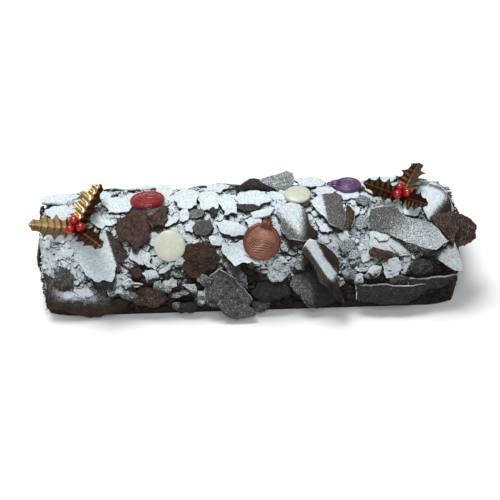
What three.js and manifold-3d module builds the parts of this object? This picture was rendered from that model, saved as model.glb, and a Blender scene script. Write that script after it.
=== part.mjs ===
// A yule log cake: an arched log under broken chocolate bark, with white chocolate discs, bauble-shaped
// chocolates and two holly picks. Millimetres, +Z up, the log along X, its front towards -Y, and the
// origin at the middle of its flat base.

import * as THREE from 'three';
import { mergeVertices } from 'three/addons/utils/BufferGeometryUtils.js';
import Module from 'manifold-3d';

const wasm = await Module();
wasm.setup();

// Driving dimensions.
const LENGTH = 340;
const HALF_WIDTH = 51;
const HEIGHT = 72;
const SQUARENESS = 2.3; // exponent of the arch: 2 is an ellipse, more is squarer
const RISE = 0.02; // the right end stands this share higher than the middle
const END_ROUND = 28; // length over which each end draws in
const END_DROP = 0.13; // share by which it draws in
const END_CENTRE = 30; // height of the middle of an end face
const END_REACH = 55; // from the rim of an end face to its middle
const RELIEF = 1.5; // depth of the lumps in the cream under the bark
const ARCH_STEPS = 24; // faces over the arch
const BASE_STEPS = 4; // faces across the base
const RINGS = 22; // along the log

const GAP = 0.3; // clearance between neighbouring pieces
const BARK = 1.6; // thickness of a piece of bark
const LONG_BARK = 32; // pieces longer than this bend between their corners too
const SUGARED = 0.8; // share of sugar from which bark counts as dusted
const BARE = 0.15; // share of sugar under which it counts as bare
const CHIP_DEPTH = 5; // how deep the small chips go, half of it sunk in the cream
const CHIP_SIDES = 5;
const CHIP_TILT = 16; // most degrees that a chip leans
const CHIP_COUNT = 60; // drawn at random, past those that have a row
const CHIP_ALONG = LENGTH + 70; // stretch over which they are drawn, with 35 mm of each end face
const CHIP_ROUND = 170; // degrees of the arch over which they are drawn
const CHIP_SHORT = 12;
const CHIP_LONG = 24;

const DISC_RADIUS = 12.5;
const DISC_THICK = 5;
const BAUBLE_RADIUS = 15;
const BAUBLE_THICK = 6;
const CAP_RADIUS = 5;
const CAP_LENGTH = 9;
const CAP_LIFT = 0.8; // of its middle over the middle of the disc
const ROUND_STEPS = 22; // faces round a disc

const BERRY_RADIUS = 4;
const BERRY_SPREAD = 4.85; // from the middle of the cluster to each berry
const BERRY_HEIGHT = 5.5; // of the cluster above the foot of the leaves
const STEM_RADIUS = 1.8;
const STEM_DEPTH = 16; // how far a pick goes into the cake
const STEM_HEIGHT = 5; // of the foot of the leaves above the cake
const LEAF_HALF_WIDTH = 12;
const LEAF_THICK = 0.9;
const LEAF_SPINES = 4; // along each edge
const LEAF_STEPS = LEAF_SPINES * 3; // a dip, a slope and a spine in turn
const LEAF_TIP = 0.5; // half the width at the tip and the foot
const SPINE_DEPTH = 0.42; // share of the width between spine and dip
const LEAF_LENGTH = 38;
const LEAF_FOLD = 0.22; // rise of the halves beside the midrib, per millimetre of width
const LEAF_DROOP = 4; // how far the tip bends down

// Finishes: colour, roughness and metalness.
const FINISHES = {
  bark: [0x55504e, 0.8, 0],
  dusted: [0xcfd4d6, 0.95, 0],
  bare: [0x45302a, 0.6, 0],
  cream: [0x6a6664, 0.9, 0],
  white_chocolate: [0xdcdcc8, 0.35, 0],
  copper: [0x9a5f45, 0.4, 0],
  red: [0xa32632, 0.4, 0],
  purple: [0x6f4a7c, 0.4, 0],
  gold_leaf: [0x8c6a3a, 0.35, 0.8],
  berry: [0xb01014, 0.2, 0],
};

// Outlines of the bark, as corners that run clockwise round the middle of a square from -1 to 1.
const OUTLINES = {
  shield: [[-1, 0.1], [-0.8, 0.45], [0.05, 0.8], [0.3, 1], [0.65, 0.6], [1, -0.05], [0.4, -1], [-0.1, -1]],
  slab: [[-1, 0.6], [-0.5, 1], [0.65, 0.9], [1, 0], [0.75, -0.9], [-0.45, -1]],
  pebble: [
    [-1, -0.1], [-0.85, 0.6], [-0.2, 1], [0.6, 0.75], [1, 0.15], [0.85, -0.6], [0.2, -1], [-0.7, -0.7],
  ],
  bean: [[-1, 0], [-0.65, 0.9], [0.3, 1], [0.95, 0.3], [1, -0.5], [0.4, -1], [-0.7, -0.8]],
  patch: [
    [-1, -0.05], [-0.45, 0.75], [0.2, 1], [0.75, 0.75], [1, 0.1], [0.6, -0.5], [-0.1, -1], [-0.45, -0.55],
  ],
  torn: [[-1, 0.05], [-0.85, 0.55], [-0.05, 1], [0.95, 0.6], [1, 0], [0.85, -0.6], [0.2, -1], [-0.6, -0.6]],
  notched: [[-0.35, 0.55], [0.1, 1], [1, 0.9], [0.9, -0.1], [0.5, -0.85], [-0.65, -1], [-1, -0.6]],
  star: [
    [-1, 0.95], [0.1, 1], [0.25, 0.05], [1, -0.9], [0.05, -0.7], [-0.3, -1], [-0.75, -0.35], [-1, 0.1],
  ],
  wedge: [[-1, 0.85], [-0.45, 1], [0.95, -0.25], [1, -1], [0.15, -0.6], [-0.7, 0.15]],
  sail: [[-1, 0.3], [-0.4, 1], [0.35, 0.35], [1, -0.6], [0.85, -1], [0.1, -0.85], [-0.5, -1], [-1, -0.85]],
  fan: [[-1, 0.3], [-0.85, 0.8], [-0.45, 1], [0.05, 1], [0.5, 0.5], [1, -0.4], [0.05, -1], [-0.35, -0.85]],
  corner: [
    [-1, -0.1], [-0.95, 0.6], [-0.4, 1], [0, 0.85], [1, 0.2], [0.65, -0.65], [0.1, -1], [-0.35, -0.8],
  ],
  fold: [[-1, 0.7], [-0.45, 1], [0.85, 1], [0.85, 0.3], [1, -0.1], [0.75, -1], [-0.05, -0.7], [-0.75, 0.1]],
  trough: [[-1, 0], [-0.75, 0.7], [-0.3, 1], [0.1, 0.5], [0.4, -0.2], [1, -0.6], [0, -1], [-0.95, -0.8]],
  blade: [
    [-1, 0.25], [-0.5, 1], [-0.25, 0.6], [0.65, 0.65], [1, 0.2], [0.8, -0.6], [-0.5, -0.75], [-0.85, -1],
  ],
  crest: [[-1, 0.8], [-0.6, 1], [0.35, 0.7], [0.9, -0.15], [1, -0.5], [-0.35, -1], [-0.8, -0.45]],
  strip: [[-1, 1], [0, 0.75], [1, 0.6], [0.85, 0], [0.35, -1], [-0.25, -0.95], [-1, -0.4]],
  hull: [
    [-1, 1], [-0.35, 0.4], [0.1, 0.85], [0.7, 0.35], [1, -0.1], [0.8, -0.65], [-0.1, -1], [-0.85, -0.8],
  ],
  tooth: [[-1, 0.15], [0.1, 0.75], [0.4, 1], [0.7, 0.35], [1, -1], [0.6, -0.9], [-0.15, -0.4]],
  oval: [
    [-1, 0.3], [-0.5, 0.95], [0.2, 1], [0.85, 0.7], [1, -0.15], [0.6, -0.85], [-0.1, -1], [-0.8, -0.6],
  ],
  mound: [
    [-1, 0.65], [-0.6, 1], [0.05, 0.85], [0.6, 0.5], [1, -0.2], [0.9, -0.5], [0.25, -1], [-0.6, -0.2],
  ],
  curl: [[-1, 0.2], [-0.15, 0.55], [0.6, 1], [0.95, 0.5], [1, -0.2], [0.5, -1], [-0.05, -0.95]],
  flap: [[-1, -0.35], [-0.35, 0.2], [0, 1], [0.5, 0.75], [1, -0.4], [1, -1], [-0.05, -0.6]],
};

// The large pieces of bark: name; place along the log and degrees round it from the top to the front, with
// more than half the length meaning that much in from the rim of an end; lift; turn, tip and rear in
// degrees; length and width; outline; how far the long edges and the ends bend down; share of sugar.
const BARK_ROWS = [
  ['slab_left_top', -152, 3, 1.5, 0, 0, 0, 24, 18, 'slab', 1, 1, 0.95],
  ['curl_back_left', -152, -12, 3, 2, 12, 0, 32, 12, 'strip', 1, 1, 0.9],
  ['plate_left', -118, 43, 4.5, 0, -4, 7, 42, 41, 'shield', 0.5, 3, 1.15],
  ['round_left_low', -149, 60, 2, 0, -6, 0, 17, 20, 'pebble', 1.5, 0.5, 0.36],
  ['band_left_low', -133, 76, 2.5, -8, -12, 0, 71, 34, 'hull', 3, 3, 1.02],
  ['slab_left_low', -107, 66, 3, -4, -6, 0, 26, 19, 'slab', 0.5, 0.5, 0.8],
  ['torn_bare_left', -92, 22, 4.5, 0, -4, 0, 29, 35, 'torn', 1.5, 1, 0.01],
  ['notched_bare_left', -71, 13, 4.5, 0, -4, 0, 16, 21, 'notched', 0.5, 0.5, 0.05],
  ['slab_top_left', -49, -4, 4, 0, 0, 0, 21, 27, 'pebble', 1, 0.5, 0.97],
  ['peak_top_left', -68, -15, 3, 0, 18, 0, 14, 20, 'slab', 0.5, 0.5, 0.9],
  ['slab_top_low', -31, -2, 2.5, 0, 0, 0, 18, 23, 'slab', 0.5, 0.5, 0.97],
  ['slab_top_mid', -15, 3, 3.5, 0, -3, 0, 18, 24, 'slab', 0.5, 0.5, 0.97],
  ['slab_top_round', 4, -1, 4.5, 0, 0, 0, 29, 19, 'bean', 1, 0.5, 0.97],
  ['flap_back_mid', 3, -16, 6, 2, 55, 4, 42, 12, 'flap', 2, 1, 0.2],
  ['curl_back_mid', 25, -17, 9, 6, 45, 4, 29, 18, 'curl', 3, 0.5, 0.6],
  ['lump_mid', -13, 24, 4, -15, 0, 0, 25, 12, 'bean', 1, 0.5, 0.97],
  ['patch_bare_mid', -42.5, 49, 3, 0, 0, 0, 39, 29, 'patch', 1.5, 1.5, 0.01],
  ['star_mid', -6, 44, 5, 0, -8, 0, 30, 21, 'star', -2, -1, 0.95],
  ['wedge_mid', -11, 60, 2.5, 0, 0, 0, 19, 30, 'wedge', 0.5, 0.5, 0.6],
  ['sail_front_mid', -17, 70, 4.5, 0, -14, 0, 37, 34, 'sail', 0.5, 2, 0.38],
  ['bean_front_low', 17, 74, 3, 0, -14, 0, 32, 17, 'bean', 1, 1, 0.2],
  ['slab_front_mid', 24, 58, 3, 62, 0, 0, 23, 19, 'pebble', 0.5, 0.5, 0.75],
  ['corner_right_top', 39, 23, 6, -35, -8, 0, 38, 31, 'corner', 1, 1.5, 0.85],
  ['fold_right_top', 65, 14, 6, 0, -4, 0, 27, 34, 'fold', 0.5, 2, 0.85],
  ['trough_right', 65, 58, 7, -58, 0, 0, 62, 23, 'trough', -8, 1, 1.3],
  ['fan_right', 53, 74, 5, 0, -16, 0, 42, 33, 'fan', 1.5, 1.5, 0.42],
  ['blade_right', 127, 30, 6, -24, -2, 0, 67, 27, 'blade', 0.5, 1.5, 0.7],
  ['ridge_right', 111, 42, 4, -12, 8, 0, 35, 22, 'crest', 1.5, 1, 0.88],
  ['slab_right_low', 113, 59, 3, 0, 0, 0, 17, 19, 'slab', 0, 0.5, 0.9],
  ['strip_right_low', 116, 77, 7, 3, -16, 0, 61, 19, 'strip', 0.5, 2, 0.2],
  ['strip_right_back', 147, 71, 4, 7, -8, 0, 40, 12, 'strip', 0.5, 1, 0.2],
  ['tooth_right_end', 157, 52, 4, -4, -4, 0, 29, 25, 'tooth', 0, 1, 0.78],
  ['oval_right_end', 167, 29, 4, -20, 0, -6, 34, 25, 'oval', 1, 1.5, 0.14],
  ['slab_right_end', 150, 5, 3, -30, 0, 0, 35, 38, 'mound', 3, 4, 1.15],
  ['plate_back_left', -115, -52, 4, 12, 6, 0, 46, 34, 'corner', 1, 2, 0.7],
  ['sail_back_left', -62, -66, 4.5, -20, 10, 0, 40, 34, 'sail', 0.5, 2, 0.45],
  ['blade_back_mid', -4, -56, 5, 18, 6, 0, 60, 24, 'blade', 1, 2, 0.65],
  ['torn_back_right', 52, -62, 4, -8, 4, 0, 36, 34, 'torn', 1.5, 1.5, 0.2],
  ['shield_back_right', 112, -50, 5, 20, 6, 0, 44, 36, 'shield', 1, 2, 0.75],
  ['strip_back_low', 92, -79, 5, -4, 14, 0, 52, 16, 'strip', 1, 2, 0.4],
];

// The small chips that show best: place along and round the log, turn, length and width.
const CHIP_ROWS = [
  [-103, 60, 20, 13, 9], [-84, 52, 70, 13, 12], [-78, 62, 10, 15, 11], [-62, 58, 80, 16, 10],
  [-95, 66, 40, 12, 11], [-36, 23, 10, 15, 11], [-44, 15, 60, 11, 8], [-48, 27, 30, 10, 8],
  [-27, 12, 50, 9, 7], [4, 14, 0, 18, 9], [12, 15, 28, 17, 8], [81, 18, 80, 20, 8],
  [78, 33, 20, 11, 10], [90, 30, 60, 13, 10], [88, 44, 15, 14, 12], [84, 55, 70, 15, 12],
  [98, 62, 5, 13, 11], [90, 66, 50, 12, 9], [130, 60, 30, 15, 12], [98, 3, 0, 20, 9],
  [-28, 82, 15, 17, 12], [-70, 76, 5, 24, 13], [-90, 82, -5, 20, 11], [-52, 72, 30, 15, 11],
  [154, 24, -30, 26, 22],
];

// Flat toppings: name, kind, place along and round the log, lift, turn of a cap, tip, rear, and share of
// full size.
const FLAT_ROWS = [
  ['white_disc_front', 'white_chocolate', -62.5, 36.5, 6, 0, 0, 0, 1],
  ['white_disc_top', 'white_chocolate', 41, -3.5, 4, 0, 0, 0, 0.87],
  ['bauble_copper', 'copper', 10.5, 36, 7, 72, 0, 0, 1],
  ['bauble_red', 'red', -81, -4, 4, -82, 0, 14, 0.94],
  ['bauble_purple', 'purple', 82.5, -13, 4.5, 172, -3, 0, 0.72],
];

// Holly picks: place along and round the log, then the heading, pitch, roll and share of full size of each
// leaf.
const HOLLY_ROWS = {
  holly_left: {
    along: -137, around: 20, leaves: [[58, 32, 1, 1.03], [189, 16, -58, 0.92], [-51, 13, 12, 0.88]],
  },
  holly_right: {
    along: 124, around: 2.5, leaves: [[64, 11, -13, 1], [178, 28, -40, 0.83], [-59, 27, 48, 0.78]],
  },
};

const degrees = THREE.MathUtils.degToRad;

// A repeatable draw between 0 and 1.
function draw(seed, index) {
  const wave = Math.sin(seed * 12.9898 + index * 78.233) * 43758.5453;
  return wave - Math.floor(wave);
}

// One side of the superellipse: a sine or cosine raised to the arch's power, with its sign.
function bulge(value) {
  return Math.sign(value) * Math.abs(value) ** (2 / SQUARENESS);
}

// How large the section is at a place along the log.
function sectionScale(along) {
  const intoEnd = Math.max(0, Math.abs(along) - (LENGTH / 2 - END_ROUND)) / END_ROUND;
  return 1 - END_DROP * intoEnd ** 2;
}

// The smooth skin of the log under a place, before any relief.
function skinPoint(along, around) {
  const angle = degrees(around);
  const scale = sectionScale(along);
  const rise = 1 + (RISE * along) / (LENGTH / 2);
  return new THREE.Vector3(
    along,
    -HALF_WIDTH * scale * bulge(Math.sin(angle)),
    HEIGHT * scale * rise * bulge(Math.cos(angle)),
  );
}

function skinNormal(point) {
  const slope = SQUARENESS - 1;
  return new THREE.Vector3(
    0,
    (Math.sign(point.y) * Math.abs(point.y / HALF_WIDTH) ** slope) / HALF_WIDTH,
    Math.abs(point.z / HEIGHT) ** slope / HEIGHT,
  ).normalize();
}

// Shallow lumps, so that the cream isn't a plain arch.
function relief(along, around) {
  const swirl = along / 9 + 1.7 * Math.sin(around / 19);
  return RELIEF * Math.sin(swirl) * Math.cos(around / 11 + along / 23);
}

// A frame on the skin: X along the log, Z out of the skin. Past the rim it lies on the end face.
function spot(along, around, lift) {
  const side = Math.sign(along);
  const inward = Math.abs(along) - LENGTH / 2;
  const point = skinPoint(inward > 0 ? (side * LENGTH) / 2 : along, around);
  let out = skinNormal(point);
  let lengthwise = new THREE.Vector3(1, 0, 0);
  if (inward > 0) {
    const middle = new THREE.Vector3(point.x, 0, END_CENTRE);
    lengthwise = middle.clone().sub(point).normalize().multiplyScalar(side);
    point.lerp(middle, inward / END_REACH);
    out = new THREE.Vector3(side, 0, 0);
  }
  const across = out.clone().cross(lengthwise);
  const frame = new THREE.Matrix4().makeBasis(lengthwise, across, out);
  return frame.setPosition(point.addScaledVector(out, lift));
}

function turned(turn, tip, rear) {
  const angles = new THREE.Euler(degrees(tip), degrees(-rear), degrees(turn), 'ZXY');
  return new THREE.Matrix4().makeRotationFromEuler(angles);
}

function toSolid(geometry) {
  geometry.deleteAttribute('normal');
  geometry.deleteAttribute('uv');
  const merged = mergeVertices(geometry, 1e-4);
  const vertProperties = new Float32Array(merged.attributes.position.array);
  const triVerts = new Uint32Array(merged.index.array);
  return new wasm.Manifold(new wasm.Mesh({ numProp: 3, vertProperties, triVerts }));
}

function toGeometry(solid) {
  const mesh = solid.getMesh();
  const geometry = new THREE.BufferGeometry();
  geometry.setAttribute('position', new THREE.BufferAttribute(mesh.vertProperties, 3));
  geometry.setIndex(new THREE.BufferAttribute(mesh.triVerts, 1));
  return geometry;
}

// Moves every vertex of a geometry to where a function puts it.
function reshape(geometry, move) {
  const position = geometry.attributes.position;
  const vertex = new THREE.Vector3();
  for (let i = 0; i < position.count; i += 1) {
    vertex.fromBufferAttribute(position, i);
    move(vertex);
    position.setXYZ(i, vertex.x, vertex.y, vertex.z);
  }
  return geometry;
}

// A closed disc about Z with a corner on +X, made by turning a profile of [radius, height] pairs that
// runs upwards.
function turnedDisc(profile, segments) {
  const points = profile.map(([radius, height]) => new THREE.Vector2(radius, height));
  return new THREE.LatheGeometry(points, segments).rotateX(Math.PI / 2).rotateZ(-Math.PI / 2);
}

// The point of an outline at a share of the way round it, counted evenly over its sides.
function outlinePoint(corners, share) {
  const walk = (share % 1) * corners.length;
  const from = corners[Math.floor(walk) % corners.length];
  const to = corners[(Math.floor(walk) + 1) % corners.length];
  const part = walk - Math.floor(walk);
  return [from[0] + (to[0] - from[0]) * part, from[1] + (to[1] - from[1]) * part];
}

// A thin plate with a broken outline, bent down towards its long edges and its ends.
function barkGeometry(corners, steps, long, wide, thick, curl, sweep) {
  const half = thick / 2;
  const profile = [[0, -half], [0.55, -half], [1, -half * 0.8], [1, half * 0.8], [0.55, half], [0, half]];
  return reshape(turnedDisc(profile, steps), (vertex) => {
    const reach = Math.hypot(vertex.x, vertex.y);
    const share = 1 - Math.atan2(vertex.y, vertex.x) / (2 * Math.PI);
    const [u, v] = outlinePoint(corners, Math.round(share * steps) / steps);
    vertex.x = (u * reach * long) / 2;
    vertex.y = (v * reach * wide) / 2;
    vertex.z -= curl * (v * reach) ** 2 + sweep * (u * reach) ** 2;
  });
}

// A small chip with uneven corners.
function chipGeometry(long, wide, seed) {
  const depth = CHIP_DEPTH / 2;
  const profile = [[0, -depth], [1, -depth], [1, depth], [0, depth]];
  return reshape(turnedDisc(profile, CHIP_SIDES), (vertex) => {
    const turn = Math.atan2(vertex.y, vertex.x) / (2 * Math.PI);
    const side = Math.round((turn + 1) * CHIP_SIDES) % CHIP_SIDES;
    const reach = 0.7 + 0.3 * draw(seed, side);
    vertex.x *= (reach * long) / 2;
    vertex.y *= (reach * wide) / 2;
  });
}

// The log itself: a lathe whose turn runs over the arch and back along the base.
function logGeometry() {
  const segments = ARCH_STEPS + BASE_STEPS;
  const capRings = [[0, 0], [0.45, 0], [0.86, 0.004], [1, 0.014]];
  const edge = capRings.at(-1)[1];
  const body = Array.from({ length: RINGS - 1 }, (_, i) => [1, edge + ((1 - 2 * edge) * (i + 1)) / RINGS]);
  const farCap = capRings.map(([radius, share]) => [radius, 1 - share]).reverse();
  const profile = [...capRings, ...body, ...farCap].reverse();
  return reshape(turnedDisc(profile, segments), (vertex) => {
    const reach = Math.hypot(vertex.x, vertex.y);
    const turn = (Math.atan2(vertex.y, vertex.x) / (2 * Math.PI) + 1) % 1;
    const along = (vertex.z - 0.5) * LENGTH;
    placeOnSection(vertex, along, (turn * segments) / ARCH_STEPS, reach);
  });
}

// Puts a vertex on the section at a place along the log: up to 1 the share is over the arch, from the
// front to the back, and past 1 it is back along the base.
function placeOnSection(vertex, along, share, reach) {
  const baseShare = ((share - 1) * ARCH_STEPS) / BASE_STEPS;
  const around = 90 - 180 * Math.min(share, 1);
  const rim = skinPoint(along, share > 1 ? -90 : around);
  if (share > 1) rim.y *= 1 - 2 * baseShare;
  if (share > 0 && share < 1) {
    const lump = relief(along, around) * Math.min(1, rim.z / 12);
    rim.addScaledVector(skinNormal(rim), lump);
  }
  const middle = new THREE.Vector3(along, 0, END_CENTRE);
  vertex.copy(middle.lerp(rim, reach));
}

function chipAt(along, around, turn, long, wide, seed) {
  const lean = (draw(6, seed) - 0.5) * 2 * CHIP_TILT;
  const place = spot(along, around, 0).multiply(turned(turn, lean, 0));
  return { place, middle: new THREE.Vector3().setFromMatrixPosition(place), long, wide, seed };
}

// Chips in the rows above, then others drawn over the rest of the log, its back and its ends.
function allChips() {
  const shown = CHIP_ROWS.map((row, i) => chipAt(...row, i));
  const drawn = Array.from({ length: CHIP_COUNT }, (_, i) => {
    const along = (draw(1, i) - 0.5) * CHIP_ALONG;
    const around = (draw(2, i) - 0.5) * CHIP_ROUND;
    const long = CHIP_SHORT + (CHIP_LONG - CHIP_SHORT) * draw(3, i);
    const wide = long * (0.55 + 0.4 * draw(5, i));
    return chipAt(along, around, 180 * draw(4, i), long, wide, CHIP_ROWS.length + i);
  });
  return [...shown, ...drawn];
}

function discGeometry(share, grow) {
  const r = DISC_RADIUS * share + grow;
  const h = DISC_THICK / 2 + grow;
  const profile = [[0, -h], [r * 0.92, -h], [r, -h * 0.2], [r * 0.9, h * 0.35], [r * 0.6, h * 0.86], [0, h]];
  return turnedDisc(profile, ROUND_STEPS);
}

// A flat chocolate in the shape of a bauble: a domed disc with a cap on its rim.
function baubleSolid(share, grow) {
  const r = BAUBLE_RADIUS * share + grow;
  const h = BAUBLE_THICK / 2 + grow;
  const profile = [[0, -h], [r * 0.93, -h], [r, -h * 0.3], [r * 0.9, h * 0.3], [r * 0.62, h * 0.8], [0, h]];
  const cap = new THREE.CylinderGeometry(CAP_RADIUS + grow, CAP_RADIUS * 0.7 + grow, CAP_LENGTH, 10)
    .scale(1, 1, 0.6)
    .rotateZ(-Math.PI / 2)
    .translate(r + CAP_LENGTH * 0.1, 0, CAP_LIFT);
  return toSolid(turnedDisc(profile, ROUND_STEPS)).add(toSolid(cap));
}

// Half the width of a holly leaf at a share of its length: a full outline drawn out into spines.
function leafHalfWidth(share) {
  const body = Math.sin(Math.PI * Math.min(1, 0.1 + 0.89 * share)) ** 0.6;
  const spine = (Math.round(share * LEAF_STEPS) % 3) / 2;
  return Math.max(LEAF_TIP, LEAF_HALF_WIDTH * body * (1 - SPINE_DEPTH * (1 - spine ** 2)));
}

// A holly leaf along +X from its foot, folded up beside its midrib and bent down to its tip.
function leafGeometry(size, grow) {
  const blank = new THREE.BoxGeometry(1, 2, LEAF_THICK + 2 * grow, LEAF_STEPS, 2, 1).translate(0.5, 0, 0);
  return reshape(blank, (vertex) => {
    const share = vertex.x;
    const side = vertex.y * (leafHalfWidth(share) * size + grow);
    vertex.x = share * LEAF_LENGTH * size + (share - 0.5) * 2 * grow;
    vertex.y = side;
    vertex.z += LEAF_FOLD * Math.abs(side) - LEAF_DROOP * size * share ** 2;
  });
}

function bodyGeometry(geometry, place) {
  return toSolid(geometry.applyMatrix4(place));
}

function barkFinish(sugar) {
  if (sugar > SUGARED) return 'dusted';
  return sugar < BARE ? 'bare' : 'bark';
}

// A piece: its name, finish and place, and a function that gives its solid, grown by a clearance.
function barkPiece([name, along, around, lift, turn, tip, rear, long, wide, outline, curl, sweep, sugar]) {
  const place = spot(along, around, lift).multiply(turned(turn, tip, rear));
  const corners = OUTLINES[outline];
  const steps = corners.length * (long > LONG_BARK ? 2 : 1);
  const solid = (grow) => bodyGeometry(
    barkGeometry(corners, steps, long + 2 * grow, wide + 2 * grow, BARK + 2 * grow, curl, sweep),
    place,
  );
  return { name, finish: barkFinish(sugar), place, solid, room: wide * 0.42 };
}

function flatPiece([name, finish, along, around, lift, turn, tip, rear, share]) {
  const place = spot(along, around, lift).multiply(turned(turn, tip, rear));
  const isDisc = finish === 'white_chocolate';
  const local = (grow) => (isDisc ? discGeometry(share, grow) : toGeometry(baubleSolid(share, grow)));
  return { name, finish, place, solid: (grow) => bodyGeometry(local(grow), place), room: BAUBLE_RADIUS };
}

function berryPieces(name, foot) {
  return [0, 1, 2].map((i) => {
    const turn = degrees(100 + 120 * i);
    const place = foot.clone().multiply(new THREE.Matrix4().makeTranslation(
      BERRY_SPREAD * Math.cos(turn), BERRY_SPREAD * Math.sin(turn), BERRY_HEIGHT));
    const solid = (grow) => bodyGeometry(new THREE.SphereGeometry(BERRY_RADIUS + grow, 9, 6), place);
    return { name: `${name}_berry_${i + 1}`, finish: 'berry', place, solid, room: 0 };
  });
}

function stemPiece(name, foot) {
  const length = STEM_DEPTH + STEM_HEIGHT;
  const place = foot.clone().multiply(new THREE.Matrix4().makeTranslation(0, 0, -length / 2 + 1));
  const solid = (grow) => bodyGeometry(
    new THREE.CylinderGeometry(STEM_RADIUS + grow, STEM_RADIUS * 0.6 + grow, length + 2 * grow, 8)
      .rotateX(Math.PI / 2),
    place,
  );
  return { name: `${name}_stem`, finish: 'gold_leaf', place, solid, room: BERRY_SPREAD * 2 };
}

function leafPieces(name, foot, leaves) {
  return leaves.map(([heading, pitch, roll, share], i) => {
    const aim = new THREE.Euler(degrees(roll), degrees(-pitch), degrees(heading), 'ZYX');
    const place = new THREE.Matrix4().makeRotationFromEuler(aim)
      .multiply(new THREE.Matrix4().makeTranslation(STEM_RADIUS + GAP, 0, 0))
      .premultiply(new THREE.Matrix4().makeTranslation(...new THREE.Vector3().setFromMatrixPosition(foot)));
    const solid = (grow) => bodyGeometry(leafGeometry(share, grow), place);
    return { name: `${name}_leaf_${i + 1}`, finish: 'gold_leaf', place, solid, room: 0 };
  });
}

function hollyPieces([name, { along, around, leaves }]) {
  const foot = spot(along, around, STEM_HEIGHT);
  return [stemPiece(name, foot), ...berryPieces(name, foot), ...leafPieces(name, foot, leaves)];
}

// The outer skin of the largest body: scraps are dropped and sealed hollows filled.
function largestBody(solid) {
  return solid.decompose().reduce((a, b) => (a.volume() > b.volume() ? a : b));
}

function boxesMeet(a, b) {
  const [p, q] = [a.boundingBox(), b.boundingBox()];
  return [0, 1, 2].every((i) => p.min[i] < q.max[i] && q.min[i] < p.max[i]);
}

// Settles the pieces in turn: each keeps clear of those before it.
function settle(pieces) {
  const settled = [];
  for (const piece of pieces) {
    let body = piece.solid(0);
    for (const other of settled.filter((one) => boxesMeet(one.claim, body))) {
      body = body.subtract(other.claim);
    }
    settled.push({ ...piece, body: largestBody(body), claim: piece.solid(GAP) });
  }
  return settled;
}

// The cream with its chips fused on, cut back from everything that lies on it or is stuck in it.
function logSolid(settled) {
  const taken = settled.map(({ place, room }) => [new THREE.Vector3().setFromMatrixPosition(place), room]);
  let solid = toSolid(logGeometry());
  for (const chip of allChips()) {
    if (taken.every(([middle, room]) => middle.distanceTo(chip.middle) > room)) {
      solid = solid.add(bodyGeometry(chipGeometry(chip.long, chip.wide, chip.seed), chip.place));
    }
  }
  for (const { claim } of settled) solid = solid.subtract(claim);
  return largestBody(solid);
}

function meshOf({ name, finish, place, body }) {
  const [color, roughness, metalness] = FINISHES[finish];
  const material = new THREE.MeshStandardMaterial({ color, roughness, metalness });
  const geometry = toGeometry(body).applyMatrix4(place.clone().invert());
  const mesh = new THREE.Mesh(geometry, material);
  mesh.name = name;
  mesh.applyMatrix4(place);
  return mesh;
}

function yuleLog() {
  const toppings = [...Object.entries(HOLLY_ROWS).flatMap(hollyPieces), ...FLAT_ROWS.map(flatPiece)];
  const settled = settle([...toppings, ...BARK_ROWS.map(barkPiece)]);
  const log = { name: 'log', finish: 'cream', place: new THREE.Matrix4(), body: logSolid(settled) };
  const cake = new THREE.Group();
  cake.add(...[log, ...settled].map(meshOf));
  return cake;
}

export default yuleLog();
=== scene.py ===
# Dresses the yule log cake: a cream core with cracked plates, broken bark, flakes and crumbs under icing
# sugar, white chocolate discs, lustred bauble chocolates and gold holly picks. Shapes are worked out in
# millimetres, as in the part's own frame, and become metres when they are made into objects.
import math
import random

import bmesh
import bpy
from mathutils import Matrix, Vector, noise
from mathutils.bvhtree import BVHTree


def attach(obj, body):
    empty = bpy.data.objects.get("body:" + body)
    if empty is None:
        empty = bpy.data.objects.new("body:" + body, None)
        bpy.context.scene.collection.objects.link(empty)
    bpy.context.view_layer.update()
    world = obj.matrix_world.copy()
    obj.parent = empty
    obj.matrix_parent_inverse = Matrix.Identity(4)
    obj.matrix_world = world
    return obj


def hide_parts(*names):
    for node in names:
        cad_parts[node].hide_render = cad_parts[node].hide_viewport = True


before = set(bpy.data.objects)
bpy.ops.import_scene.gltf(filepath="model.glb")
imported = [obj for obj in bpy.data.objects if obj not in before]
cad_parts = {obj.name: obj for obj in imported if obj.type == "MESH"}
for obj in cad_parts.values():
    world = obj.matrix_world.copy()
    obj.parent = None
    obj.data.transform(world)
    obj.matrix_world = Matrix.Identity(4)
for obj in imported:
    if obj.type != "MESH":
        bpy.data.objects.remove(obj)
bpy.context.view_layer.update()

NOISE_SEED = 7
SCATTER_SEED = 24
noise.seed_set(NOISE_SEED)  # the vector noise is drawn from the clock otherwise

MM = 0.001
MERGE = 4e-4  # vertices of a spun solid closer than this are one
SHEET_MERGE = 1e-5
LEAF_MERGE = 1e-4
ON_RIM = 0.999  # past this share of the radius a vertex is on the rim

# The log, as in the part's source.
LENGTH = 340
HALF_WIDTH = 51
HEIGHT = 72
SQUARENESS = 2.3
RISE = 0.02
END_ROUND = 28
END_DROP = 0.13
END_CENTRE = 30
END_REACH = 55
RELIEF = 1.5
BASE_GAP = 0.1  # nothing on the log hangs lower than this

# The core's mesh and its cracked plates.
ARCH_STEPS = 200
BASE_STEPS = 24
CORE_RINGS = 300
CAP_RINGS = 30
CAP_ROUND = 5  # how far the rim of an end draws in
PLATE_CELL = 12  # usual width of a cracked plate
PLATE_TILT = 0.2
PLATE_STEP = 1.8  # how far one plate stands out from the next
CRACK_DEPTH = 1.6
CRACK_WIDTH = 0.07  # in cells
RUBBLE_CELL = 3.6
RIM_FADE = 12  # how far from the rim of an end the relief is full
RIM_RELIEF = 0.06  # share of it that is left on the rim
END_RELIEF = 0.4  # share of it that an end face has

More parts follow.
